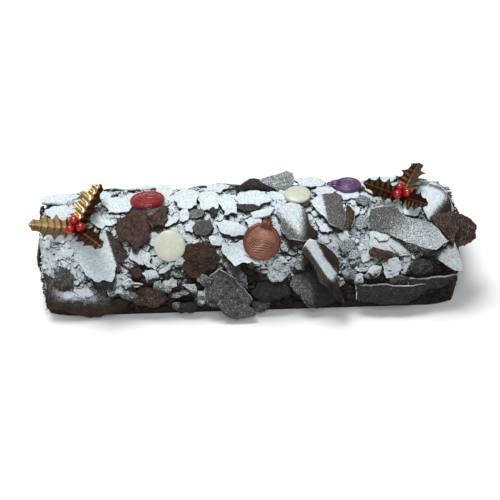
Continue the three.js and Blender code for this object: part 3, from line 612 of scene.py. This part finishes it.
def core():
    """The body of the log, spun as a drum with a finely ringed cap at each end and then shaped."""
    end = LENGTH / 2
    cap = [(k / CAP_RINGS, CAP_ROUND * (k / CAP_RINGS) ** 8) for k in range(CAP_RINGS + 1)]
    body_length = LENGTH - 2 * CAP_ROUND
    body = [(1, CAP_ROUND + body_length * (k + 1) / CORE_RINGS) for k in range(CORE_RINGS - 1)]
    far = [(radius, LENGTH - inset) for radius, inset in reversed(cap)]
    bm = spun(cap + body + far, ARCH_STEPS + BASE_STEPS)
    bm.verts.layers.float.new("sugar")
    for vertex in bm.verts:
        reach = vertex.co.xy.length
        turn = math.atan2(vertex.co.y, vertex.co.x) / (2 * math.pi) % 1
        vertex.co = core_vertex(vertex.co.z - end, turn, min(1, reach))
    bmesh.ops.recalc_face_normals(bm, faces=bm.faces[:])
    if bm.calc_volume(signed=True) < 0:
        bmesh.ops.reverse_faces(bm, faces=bm.faces[:])
    return made("cream_core", bm)


# ---- scattered flakes and crumbs


def chip_prototype(seed, sides):
    """A broken chip of radius 1 with uneven corners and a sloping edge."""
    bm = bmesh.new()
    bmesh.ops.create_cone(bm, cap_ends=True, segments=sides, radius1=1, radius2=0.9, depth=1)
    draw = random.Random(seed)
    reach = [draw.uniform(0.65, 1.15) for _ in range(sides)]
    for vertex in bm.verts:
        side = round(math.atan2(vertex.co.y, vertex.co.x) / (2 * math.pi) * sides) % sides
        vertex.co.x *= reach[side]
        vertex.co.y *= reach[side]
        vertex.co += noise.noise_vector(vertex.co * 3 + Vector((seed, 0, 0))) * 0.12
    top = [face for face in bm.faces if face.normal.z > 0.9]
    bmesh.ops.inset_region(bm, faces=top, thickness=0.3, depth=0.08)
    bmesh.ops.recalc_face_normals(bm, faces=bm.faces[:])
    return mesh_of("chip", bm)


def crumb_prototype(seed):
    """A lumpy crumb of about radius 1."""
    bm = bmesh.new()
    bmesh.ops.create_icosphere(bm, subdivisions=1, radius=1)
    for vertex in bm.verts:
        vertex.co *= 1 + 0.7 * noise.noise(vertex.co * 1.3 + Vector((seed, seed, 0)))
    return mesh_of("crumb", bm)


def gathered(placed):
    """Joins copies of prototypes, each given by its mesh, its place and its share of sugar."""
    bm = bmesh.new()
    store = bm.verts.layers.float.new("sugar")
    shares = []
    for mesh, matrix, share in placed:
        mesh.transform(matrix)
        bm.from_mesh(mesh)
        mesh.transform(matrix.inverted())
        shares.append((len(mesh.vertices), share))
    bm.verts.ensure_lookup_table()
    index = 0
    for count, share in shares:
        for vertex in bm.verts[index:index + count]:
            vertex[store] = share
        index += count
    return bm


def scatter(draw, count, prototypes, size, thick, lean, cover):
    """Draws places over the arch and both ends, leaves out those under bark, and returns what lies there."""
    end = LENGTH / 2
    placed = []
    for _ in range(count):
        along = draw.uniform(-end - PAST_RIM, end + PAST_RIM)
        around = draw.uniform(-LOWEST_PLACE, LOWEST_PLACE)
        long = draw.uniform(*size)
        wide = long * draw.uniform(0.5, 0.95)
        angles = draw.uniform(0, 360), draw.gauss(0, lean), draw.gauss(0, lean)
        depth = draw.uniform(*thick)
        lift = draw.uniform(-0.3, 1) if abs(along) < end else draw.uniform(-0.7, 0)
        kind = draw.choice(prototypes)
        share = draw.random()
        if end - RIM_GAP[0] - long / 2 < abs(along) < end + RIM_GAP[1] + long / 2:
            continue
        place = laid(along, around, lift, *angles)
        middle = place.translation
        out = spot(along, around, 0).to_3x3().col[2]
        if cover.ray_cast(middle + out * COVER_REACH, -out, COVER_REACH - 0.5)[0]:
            continue
        if middle.z < long * 0.3 + 1:
            continue
        sugar = min(MOST_SUGAR, max(LEAST_SUGAR, zone_sugar(middle, out) + UNEVEN * (share - 0.5)))
        placed.append((kind, place @ Matrix.Diagonal((long / 2, wide / 2, depth, 1)), sugar))
    return placed


# ---- chocolates


def disc():
    """A poured white chocolate disc: flat below, a rounded rim and a low dome."""
    half = DISC_THICK / 2
    radius = DISC_RADIUS
    rim = [(radius * 0.9, -half), (radius * 0.97, -half * 0.75), (radius, -half * 0.2),
           (radius * 0.985, half * 0.15)]
    dome = [(radius * k / 14, half * (1 - 0.72 * (k / 14) ** 3.2)) for k in range(13, -1, -1)]
    bm = spun([(0, -half), (radius * 0.5, -half), *rim, *dome], 72)
    for vertex in bm.verts:
        vertex.co.z += 0.12 * noise.noise(vertex.co / 5)
    return bm


def wavy_lines(x, y):
    """Fine lines that swell and drift across the lower half, on the copper one."""
    wave = 1.3 * math.sin(y / 3.3 + 0.5) + 0.5 * math.sin(y / 1.6 + x / 3)
    return smoothstep(0.1, 0.9, 0.5 + 0.5 * math.sin((x + wave) * 3.4)) * smoothstep(3.5, 0, x)


def swags(x, y):
    """Nested arcs with a gap in each, on the red one."""
    reach = math.hypot(x + 5, y - 4)
    arc = smoothstep(0.7, 0.25, abs(reach % 3.4 - 1.7))
    return arc * smoothstep(-0.9, -0.5, math.sin(math.atan2(y - 4, x + 5) * 3 + reach))


def bands(x, y):
    """Two plain rings round a small lozenge, on the purple one."""
    reach = math.hypot(x, y)
    ring = smoothstep(0.6, 0.25, min(abs(reach - 10), abs(reach - 7.6)))
    return max(ring, smoothstep(0.7, 0.25, abs(abs(x) + abs(y) - 4)))


def bauble(pattern):
    """A flat bauble: a rolled rim round a low dome with a pattern pressed in."""
    half = BAUBLE_THICK / 2
    radius = BAUBLE_RADIUS
    rim = [(radius * 0.93, -half), (radius * 0.985, -half * 0.7), (radius, -half * 0.15),
           (radius * 0.985, half * 0.25), (radius * 0.94, half * 0.52), (radius * 0.87, half * 0.6),
           (radius * 0.83, half * 0.45)]
    dome = [(radius * 0.8 * k / 44, half * (1 - 0.5 * (k / 44) ** 2.4)) for k in range(44, -1, -1)]
    bm = spun([(0, -half), (radius * 0.5, -half), *rim, *dome], 160)
    pressed = bm.verts.layers.float.new("pressed")
    inner = bm.verts.layers.float.new("inner")
    for vertex in bm.verts:
        x, y = vertex.co.xy
        inside = smoothstep(radius * 0.8, radius * 0.72, math.hypot(x, y)) * (vertex.co.z > 0)
        depth = pattern(x, y) * inside
        vertex[pressed] = depth
        vertex[inner] = inside
        vertex.co.z += 0.08 * noise.noise(vertex.co / 4) - LINE_DEPTH * depth
    return bm


def add_cap(bm, radius):
    """A fluted cap that lies over the rim towards +X, and a loop at its end."""
    start = radius - CAP_LENGTH * 0.4
    length = CAP_LENGTH * 0.74
    place = Matrix.Translation((start + length / 2, 0, CAP_LIFT)) @ Matrix.Rotation(math.pi / 2, 4, "Y")
    cap = bmesh.ops.create_cone(bm, cap_ends=True, segments=54, radius1=CAP_RADIUS, radius2=CAP_RADIUS * 0.6,
                                depth=length, matrix=place)
    for vertex in cap["verts"]:
        angle = math.atan2(vertex.co.z - CAP_LIFT, vertex.co.y)
        flute = 1 + FLUTE_DEPTH * math.cos(CAP_FLUTES * angle)
        vertex.co.y *= flute
        vertex.co.x -= 0.7 * math.cos(CAP_FLUTES * angle) * (vertex.co.x < start + 1)
        vertex.co.z = CAP_LIFT + (vertex.co.z - CAP_LIFT) * flute * 0.6
    loop = spun_ring(LOOP_RADIUS, LOOP_THICK, 20, 8)
    loop.transform(Matrix.Translation((start + length + 0.9, 0, CAP_LIFT)))
    bm.from_mesh(loop)


def spun_ring(radius, thickness, steps, sides):
    """A ring of round wire about Z."""
    bm = bmesh.new()
    place = Matrix.Translation((radius, 0, 0)) @ Matrix.Rotation(math.pi / 2, 4, "X")
    ring = bmesh.ops.create_circle(bm, segments=sides, radius=thickness, matrix=place)
    bmesh.ops.spin(bm, geom=ring["verts"] + bm.edges[:], cent=(0, 0, 0), axis=(0, 0, 1), angle=2 * math.pi,
                   steps=steps, use_merge=True)
    bmesh.ops.recalc_face_normals(bm, faces=bm.faces[:])
    return mesh_of("loop", bm)


# ---- holly


def leaf_half_width(share):
    """Half the width of a leaf at a share of its length, and how near that is to the tip of a spine."""
    body = math.sin(math.pi * min(1, 0.1 + 0.89 * share)) ** 0.6
    step = share * LEAF_SPINES % 1
    spine = (step / (2 / 3)) ** 2.6 if step < 2 / 3 else ((1 - step) * 3) ** 2
    return max(0.4, LEAF_HALF_WIDTH * body * (1 - SPINE_DEPTH * (1 - spine))), spine


def leaf(gilding_and_shade, seed):
    """A pressed foil leaf along +X, folded up at the midrib, pleated crosswise, its spines turned up."""
    left, right, depth = gilding_and_shade
    bm = bmesh.new()
    bmesh.ops.create_grid(bm, x_segments=96, y_segments=24, size=1)
    pressed = bm.verts.layers.float.new("pressed")
    gilt_and_shade = bm.verts.layers.float.new("gilt_and_shade")
    for vertex in bm.verts:
        share = (vertex.co.x + 1) / 2
        half, spine = leaf_half_width(share)
        side = vertex.co.y * half
        out = abs(vertex.co.y)
        wave = 2 * math.pi * (share * LEAF_LENGTH - PLEAT_LEAN * abs(side)) / PLEAT
        pleat = math.asin(0.97 * math.cos(wave)) / 1.3
        rib_and_highlight = smoothstep(0.8, 0.1, abs(side))
        height = LEAF_FOLD * abs(side) - LEAF_DROOP * share**2
        height += PLEAT_HEIGHT * depth * pleat * min(1, out * 2.5) * (1 - 0.5 * share) + RIB_HEIGHT * rib_and_highlight
        height += SPINE_LIFT * spine * out**4 * math.sin(seed + 9 * share)
        vertex.co = Vector((share * LEAF_LENGTH, side, height))
        # the midrib, which the foil finish also paints with a lighter highlight
        vertex[pressed] = rib_and_highlight
        # gold or dark brown for this half: partly the foil's own tone, partly painted shade where the half
        # turns from the light
        vertex[gilt_and_shade] = left if side > 0 else right
    bmesh.ops.solidify(bm, geom=bm.faces[:], thickness=LEAF_THICK)
    bmesh.ops.remove_doubles(bm, verts=bm.verts[:], dist=LEAF_MERGE)
    bmesh.ops.recalc_face_normals(bm, faces=bm.faces[:])
    return bm


def berry(seed):
    """A round berry with a dimple at its top and a dot in it."""
    bm = bmesh.new()
    bmesh.ops.create_uvsphere(bm, u_segments=32, v_segments=20, radius=BERRY_RADIUS)
    for vertex in bm.verts:
        reach = vertex.co.xy.length / BERRY_RADIUS
        if vertex.co.z > 0:
            vertex.co.z += -0.5 * smoothstep(0.3, 0, reach) + 0.9 * smoothstep(0.1, 0, reach)
        vertex.co *= 1 + 0.015 * noise.noise(vertex.co + Vector((seed, 0, 0)))
    return bm


# ---- sugar


def tree_of(pieces):
    """One ray tree over several objects, in millimetres."""
    points, faces = [], []
    for piece in pieces:
        start = len(points)
        points += [vertex.co / MM for vertex in piece.data.vertices]
        faces += [[start + index for index in polygon.vertices] for polygon in piece.data.polygons]
    return BVHTree.FromPolygons(points, faces)


SKY = [Vector((0, 0, 1)), Vector((0.12, -0.08, 1)).normalized(), Vector((-0.12, -0.1, 1)).normalized(),
       Vector((0.02, 0.1, 1)).normalized()]


def exposure(tree, point, normal):
    """The share of the sky above a point that nothing hides."""
    start = point + normal * 0.3 + Vector((0, 0, 0.2))
    seen = sum(tree.ray_cast(start, ray, SKY_REACH)[0] is None for ray in SKY)
    return seen / len(SKY)


def zone_sugar(point, out):
    """How thickly the sugar lies on the cake here, before what hides it."""
    steep = smoothstep(0.14, 0.78, out.z)
    drift = noise.noise(point / 24 + Vector((3, 8, 1))) * 0.45 + noise.noise(point / 8) * 0.2
    around = round_from_top(point)
    more = sum(amount * smoothstep(1, 0.2, math.hypot((point.x - along) / half, (around - middle) / arc))
               for along, middle, half, arc, amount in PATCHES)
    return min(MOST_SUGAR, max(0.04, steep * 0.95 + drift * (1 - steep * 0.6) + more))


def sift(piece, tree, from_zone):
    """Writes the sugar on each vertex: its share, where the surface faces up and the sky shows."""
    mesh = piece.data
    sugar = mesh.attributes["sugar"].data
    for vertex, value in zip(mesh.vertices, sugar):
        facing = smoothstep(-0.05, 0.42, vertex.normal.z)
        if facing <= 0:
            value.value = 0
            continue
        point = vertex.co / MM
        share = zone_sugar(point, skin_normal(point)) if from_zone else value.value
        value.value = share * facing * (SHADED + (1 - SHADED) * exposure(tree, point, vertex.normal))


# ---- materials


def tint(red, green, blue):
    """A colour given as 0 to 255 in sRGB, as the linear colour that the shader takes."""
    def linear(value):
        value /= 255
        return value / 12.92 if value <= 0.04045 else ((value + 0.055) / 1.055) ** 2.4
    return linear(red), linear(green), linear(blue), 1


class Finish:
    """A node material, with short calls for the nodes that the finishes share."""

    def __init__(self, name):
        self.material = bpy.data.materials.new(name)
        self.material.use_nodes = True
        self.tree = self.material.node_tree
        self.shader = self.tree.nodes["Principled BSDF"]
        self.place = self.tree.nodes.new("ShaderNodeTexCoord").outputs["Object"]

    def link(self, source, target):
        self.tree.links.new(source, target)

    def noise(self, size_mm, detail=4, roughness=0.55, stretch=None):
        node = self.tree.nodes.new("ShaderNodeTexNoise")
        node.inputs["Scale"].default_value = 1 / (size_mm * MM)
        node.inputs["Detail"].default_value = detail
        node.inputs["Roughness"].default_value = roughness
        source = self.place
        if stretch:
            mapping = self.tree.nodes.new("ShaderNodeMapping")
            mapping.inputs["Scale"].default_value = stretch
            self.link(source, mapping.inputs["Vector"])
            source = mapping.outputs["Vector"]
        self.link(source, node.inputs["Vector"])
        return node.outputs["Fac"]

    def attribute(self, name):
        node = self.tree.nodes.new("ShaderNodeAttribute")
        node.attribute_name = name
        return node.outputs["Fac"]

    def math(self, operation, a, b, clamp=False):
        node = self.tree.nodes.new("ShaderNodeMath")
        node.operation = operation
        node.use_clamp = clamp
        for value, target in ((a, node.inputs[0]), (b, node.inputs[1])):
            if isinstance(value, (int, float)):
                target.default_value = value
            else:
                self.link(value, target)
        return node.outputs[0]

    def span(self, value, low, high, start=0, end=1):
        node = self.tree.nodes.new("ShaderNodeMapRange")
        node.interpolation_type = "SMOOTHSTEP"
        for key, number in (("From Min", low), ("From Max", high), ("To Min", start), ("To Max", end)):
            node.inputs[key].default_value = number
        self.link(value, node.inputs["Value"])
        return node.outputs["Result"]

    def mottled(self, size_mm, detail, low=0, high=1):
        return self.span(self.noise(size_mm, detail), 0.3, 0.7, low, high)

    def mix(self, share, a, b):
        node = self.tree.nodes.new("ShaderNodeMix")
        node.data_type = "RGBA"
        self.link(share, node.inputs["Factor"])
        for value, target in ((a, node.inputs[6]), (b, node.inputs[7])):
            if isinstance(value, tuple):
                target.default_value = value
            else:
                self.link(value, target)
        return node.outputs[2]

    def bump(self, height, depth_mm, strength=1):
        node = self.tree.nodes.new("ShaderNodeBump")
        node.inputs["Strength"].default_value = strength
        node.inputs["Distance"].default_value = depth_mm * MM
        self.link(height, node.inputs["Height"])
        self.link(node.outputs["Normal"], self.shader.inputs["Normal"])

    def colour(self, source):
        self.link(source, self.shader.inputs["Base Color"])

    def roughness(self, source):
        self.link(source, self.shader.inputs["Roughness"])


def sugared(name, dark, brown, roughness, scuffed, thin=1.7):
    """Dark chocolate under icing sugar: bare, hazy, speckled or white as the sugar attribute says."""
    finish = Finish(name)
    chocolate = finish.mix(finish.span(finish.noise(7, 5), 0.35, 0.65), dark, brown)
    scuffs = finish.span(finish.noise(1.3, 5, 0.7, (1, 0.4, 1)), 0.5, 0.7)
    chocolate = finish.mix(finish.math("MULTIPLY", scuffs, scuffed), chocolate, tint(136, 104, 84))
    haze = finish.math("MULTIPLY", finish.noise(3, 6, 0.7), 0.4)
    film = finish.math("ADD", finish.attribute("sugar"), haze)
    chocolate = finish.mix(finish.span(film, 0.26, 0.95, 0, 0.5), chocolate, tint(130, 128, 126))
    sugar = finish.math("POWER", finish.attribute("sugar"), thin)
    fine = finish.math("MULTIPLY", finish.noise(0.8, 2, 0.6), 1.5)
    broad = finish.math("MULTIPLY", finish.noise(3.2, 4, 0.6), 0.34)
    grain = finish.math("ADD", fine, broad)
    lifted = finish.math("ADD", finish.math("SUBTRACT", grain, 0.92), sugar)
    cover = finish.span(lifted, 0.24, 0.66)
    heaped = finish.span(finish.noise(1.5, 5, 0.65), 0.36, 0.64)
    white = finish.mix(heaped, tint(184, 196, 200), tint(217, 228, 231))
    finish.colour(finish.mix(cover, chocolate, white))
    finish.roughness(finish.span(cover, 0, 0.6, roughness, 0.96))
    finish.shader.inputs["Specular IOR Level"].default_value = 0.2
    relief = finish.math("ADD", cover, finish.math("MULTIPLY", finish.noise(0.8, 4), 1.2))
    finish.bump(relief, 0.4, 0.8)
    return finish.material


def white_chocolate():
    finish = Finish("white_chocolate")
    clouded = finish.mottled(6, 4)
    finish.colour(finish.mix(clouded, tint(184, 188, 168), tint(196, 200, 181)))
    finish.roughness(finish.mottled(3, 3, 0.34, 0.46))
    finish.shader.inputs["Subsurface Weight"].default_value = 0.12
    finish.shader.inputs["Subsurface Radius"].default_value = (0.004, 0.003, 0.002)
    finish.bump(finish.noise(1.6, 3), 0.05, 0.5)
    return finish.material


def lustre(name, rim, inner, line, metal):
    """Chocolate brushed with coloured lustre: a deeper rim, a lighter middle and pressed lines."""
    finish = Finish(name)
    brushed = finish.span(finish.noise(2.6, 5, 0.6), 0.25, 0.75, 0.75, 1.2)
    coat = finish.mix(finish.math("MULTIPLY", finish.attribute("inner"), brushed, True), rim, inner)
    finish.colour(finish.mix(finish.attribute("pressed"), coat, line))
    finish.roughness(finish.mottled(2, 3, 0.24, 0.42))
    finish.shader.inputs["Metallic"].default_value = metal
    finish.bump(finish.noise(0.9, 3), 0.08, 0.6)
    return finish.material


def gold_foil():
    finish = Finish("gold_foil")
    tone = finish.mottled(5, 4, 0.8, 1.2)
    # dark brown where the attribute is low: partly the foil's own tone, partly painted shade
    gilt_and_shade = finish.math("MULTIPLY", finish.attribute("gilt_and_shade"), tone, True)
    foil = finish.mix(gilt_and_shade, tint(54, 31, 16), tint(190, 160, 114))
    # painted highlight: a lighter gold along the raised midrib
    rib_and_highlight = finish.math("MULTIPLY", finish.attribute("pressed"), 0.5)
    finish.colour(finish.mix(rib_and_highlight, foil, tint(160, 128, 86)))
    finish.roughness(finish.mottled(1.4, 3, 0.28, 0.42))
    finish.shader.inputs["Metallic"].default_value = 0.85
    finish.shader.inputs["Specular IOR Level"].default_value = 0.2
    finish.bump(finish.noise(0.8, 3), 0.08, 0.6)
    return finish.material


def berry_red():
    finish = Finish("berry_red")
    ripened = finish.span(finish.noise(3, 3), 0.35, 0.65)
    finish.colour(finish.mix(ripened, tint(132, 4, 6), tint(172, 9, 12)))
    finish.roughness(finish.mottled(1.5, 2, 0.12, 0.24))
    finish.shader.inputs["Coat Weight"].default_value = 0.4
    finish.bump(finish.noise(1, 2), 0.04, 0.5)
    return finish.material


def plain_floor():
    finish = Finish("plain_floor")
    finish.colour(finish.mix(finish.noise(60, 3), tint(246, 246, 246), tint(250, 250, 250)))
    finish.roughness(finish.mottled(20, 2, 0.85, 0.95))
    return finish.material


# ---- assembly

MATERIALS = {
    "bark": sugared("bark", tint(13, 10, 9), tint(26, 20, 17), 0.62, 0.1),
    "dusted": sugared("dusted", tint(24, 16, 12), tint(48, 33, 25), 0.62, 0.16),
    "bare": sugared("bare", tint(27, 15, 9), tint(64, 40, 28), 0.55, 0.5, 1),
    "cream": sugared("cream", tint(9, 7, 6), tint(32, 22, 17), 0.72, 0.14),
    "white_chocolate": white_chocolate(),
    "copper": lustre("copper", tint(102, 51, 34), tint(136, 92, 72), tint(86, 52, 38), 0.35),
    "red": lustre("red", tint(130, 24, 38), tint(148, 36, 48), tint(70, 16, 26), 0.2),
    "purple": lustre("purple", tint(96, 66, 112), tint(112, 82, 126), tint(60, 38, 74), 0.25),
    "gold_leaf": gold_foil(),
    "berry": berry_red(),
}
SLOT_OF_FLAT = {
    "white_disc_front": "white_chocolate", "white_disc_top": "white_chocolate",
    "bauble_copper": "copper", "bauble_red": "red", "bauble_purple": "purple",
}
PATTERNS = {"bauble_copper": wavy_lines, "bauble_red": swags, "bauble_purple": bands}


def bark_slot(sugar):
    if sugar > DUSTED_ABOVE:
        return "dusted"
    return "bare" if sugar < BARE_BELOW else "bark"


def finished(piece, slot, node=None):
    """Gives a piece its finish and its body, and hides the node of the model that it stands for, if any."""
    piece.data.materials.append(MATERIALS[slot])
    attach(piece, "root")
    if node:
        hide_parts(node)
    return piece


def large_bark():
    pieces = []
    for seed, (name, along, around, lift, turn, tip, rear, *shape) in enumerate(BARK_ROWS, 1):
        bm = bark(name, shape, SHEET_RINGS, BREAKS + (shape[0] > LONG_BARK), seed)
        set_down(bm, laid(along, around, lift, turn, tip, rear))
        pieces.append(finished(made(f"{name}_bark", bm, rounded=False), bark_slot(shape[-1]), name))
    return pieces


def hand_flakes():
    """The smaller flakes, in one piece for the bare ones and one for the sugared ones."""
    flakes = [(seed, row) for first, group in FLAKE_GROUPS for seed, row in enumerate(group, first)]
    pieces = []
    for name, slot in (("bare_flakes", "bare"), ("broken_flakes", "bark")):
        whole = bmesh.new()
        whole.verts.layers.float.new("sugar")
        for seed, (along, around, lift, turn, tip, rear, long, wide, outline, sugar) in flakes:
            if (sugar < BARE_BELOW) != (slot == "bare"):
                continue
            shape = (long, wide, outline, FLAKE_BEND, FLAKE_BEND, sugar)
            bm = bark("flake", shape, FLAKE_RINGS, FLAKE_BREAKS + (long > LONG_FLAKE), seed)
            set_down(bm, laid(along, around, lift, turn, tip, rear))
            whole.from_mesh(mesh_of("flake", bm))
        pieces.append(finished(made(name, whole, rounded=False), slot))
    return pieces


def chocolates():
    pieces = []
    for name, (*place, share) in FLAT_ROWS.items():
        bm = bauble(PATTERNS[name]) if name in PATTERNS else disc()
        bmesh.ops.scale(bm, vec=(share, share, 1), verts=bm.verts[:])
        if name in PATTERNS:
            add_cap(bm, BAUBLE_RADIUS * share)
        set_down(bm, laid(*place))
        pieces.append(finished(made(f"{name}_sweet", bm), SLOT_OF_FLAT[name], name))
    return pieces


def berries(name, foot):
    """Three berries in a ring above the foot of a pick."""
    for i in range(BERRIES):
        turn = math.radians(BERRY_TURN + 360 / BERRIES * i)
        offset = (BERRY_SPREAD * math.cos(turn), BERRY_SPREAD * math.sin(turn), BERRY_HEIGHT)
        tilt = Matrix.Rotation(0.5, 4, "X") @ Matrix.Rotation(0.4 * (i - 1), 4, "Y")
        bm = berry(i)
        set_down(bm, foot @ Matrix.Translation(offset) @ tilt)
        node = f"{name}_berry_{i + 1}"
        finished(made(f"{node}_gloss", bm), "berry", node)


def leaves(name, foot, along, rows):
    """The leaves of a pick, each aimed by its heading, its pitch and its roll."""
    for i, (heading, pitch, roll, share) in enumerate(rows):
        bm = leaf(GILT_AND_SHADE[name][i], i + along)
        bmesh.ops.scale(bm, vec=(share, share, share), verts=bm.verts[:])
        aim = turned(heading, 0, pitch) @ Matrix.Rotation(math.radians(roll), 4, "X")
        stalk = Matrix.Translation((STEM_RADIUS + GAP, 0, 0))
        set_down(bm, Matrix.Translation(foot.translation) @ aim @ stalk)
        node = f"{name}_leaf_{i + 1}"
        finished(made(f"{node}_foil", bm), "gold_leaf", node)


def holly():
    """Berries and leaves. The stems stay as they are, with the finish of the leaves."""
    for name, (along, around, rows) in HOLLY_ROWS.items():
        foot = spot(along, around, STEM_HEIGHT)
        berries(name, foot)
        leaves(name, foot, along, rows)
        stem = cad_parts[f"{name}_stem"].data.materials
        stem.clear()
        stem.append(MATERIALS["gold_leaf"])


def scattered(cover):
    """Flakes and crumbs over the rest of the cake, one piece per kind."""
    draw = random.Random(SCATTER_SEED)
    prototypes = {
        "chip": [chip_prototype(seed, 4 + seed % 3) for seed in range(CHIP_KINDS)],
        "crumb": [crumb_prototype(seed) for seed in range(CRUMB_KINDS)],
    }
    pieces = []
    for name, (count, kind, size, thick, lean) in SCATTERED.items():
        placed = scatter(draw, count, prototypes[kind], size, thick, lean, cover)
        pieces.append(finished(made(name, gathered(placed), rounded=kind == "crumb"), "cream"))
    return pieces


def studio():
    """A pale floor, an even sky and three soft lamps."""
    floor = bmesh.new()
    bmesh.ops.create_grid(floor, x_segments=8, y_segments=8, size=FLOOR_REACH)
    ground = made("floor", floor)
    ground.data.materials.append(plain_floor())
    world = bpy.data.worlds.new("studio")
    world.use_nodes = True
    world.node_tree.nodes["Background"].inputs["Color"].default_value = SKY_COLOUR
    world.node_tree.nodes["Background"].inputs["Strength"].default_value = SKY_STRENGTH
    bpy.context.scene.world = world
    for name, energy, size, place in LAMPS:
        lamp = bpy.data.lights.new(name, "AREA")
        lamp.energy, lamp.size = energy, size
        light = bpy.data.objects.new(name, lamp)
        light.location = place
        light.rotation_euler = (-Vector(place)).to_track_quat("-Z", "Y").to_euler()
        bpy.context.scene.collection.objects.link(light)
    bpy.context.scene.view_settings.view_transform = "Standard"


def camera():
    lens = bpy.data.cameras.new("camera")
    lens.lens, lens.sensor_width = CAMERA_LENS, CAMERA_SENSOR
    lens.clip_start, lens.clip_end = 0.01, 20
    angle = math.radians(CAMERA_ELEVATION)
    back = Vector((0, -math.cos(angle), math.sin(angle)))
    eye = bpy.data.objects.new("camera", lens)
    eye.location = (AIM + back * CAMERA_DISTANCE) * MM
    level = (-back).to_track_quat("-Z", "Y").to_matrix()
    eye.rotation_euler = (level @ Matrix.Rotation(math.radians(-CAMERA_ROLL), 3, "Z")).to_euler()
    bpy.context.scene.collection.objects.link(eye)
    bpy.context.scene.camera = eye


base = finished(core(), "cream", "log")
slabs = large_bark()
flakes = hand_flakes()
sweets = chocolates()
holly()
loose = scattered(tree_of([*slabs, *sweets, *flakes]))
sky_tree = tree_of([base, *flakes, *slabs, *loose])  # the sweets and the picks go on after the sugar
sift(base, sky_tree, True)
for piece in (*flakes, *slabs, *loose):
    sift(piece, sky_tree, False)
studio()
camera()
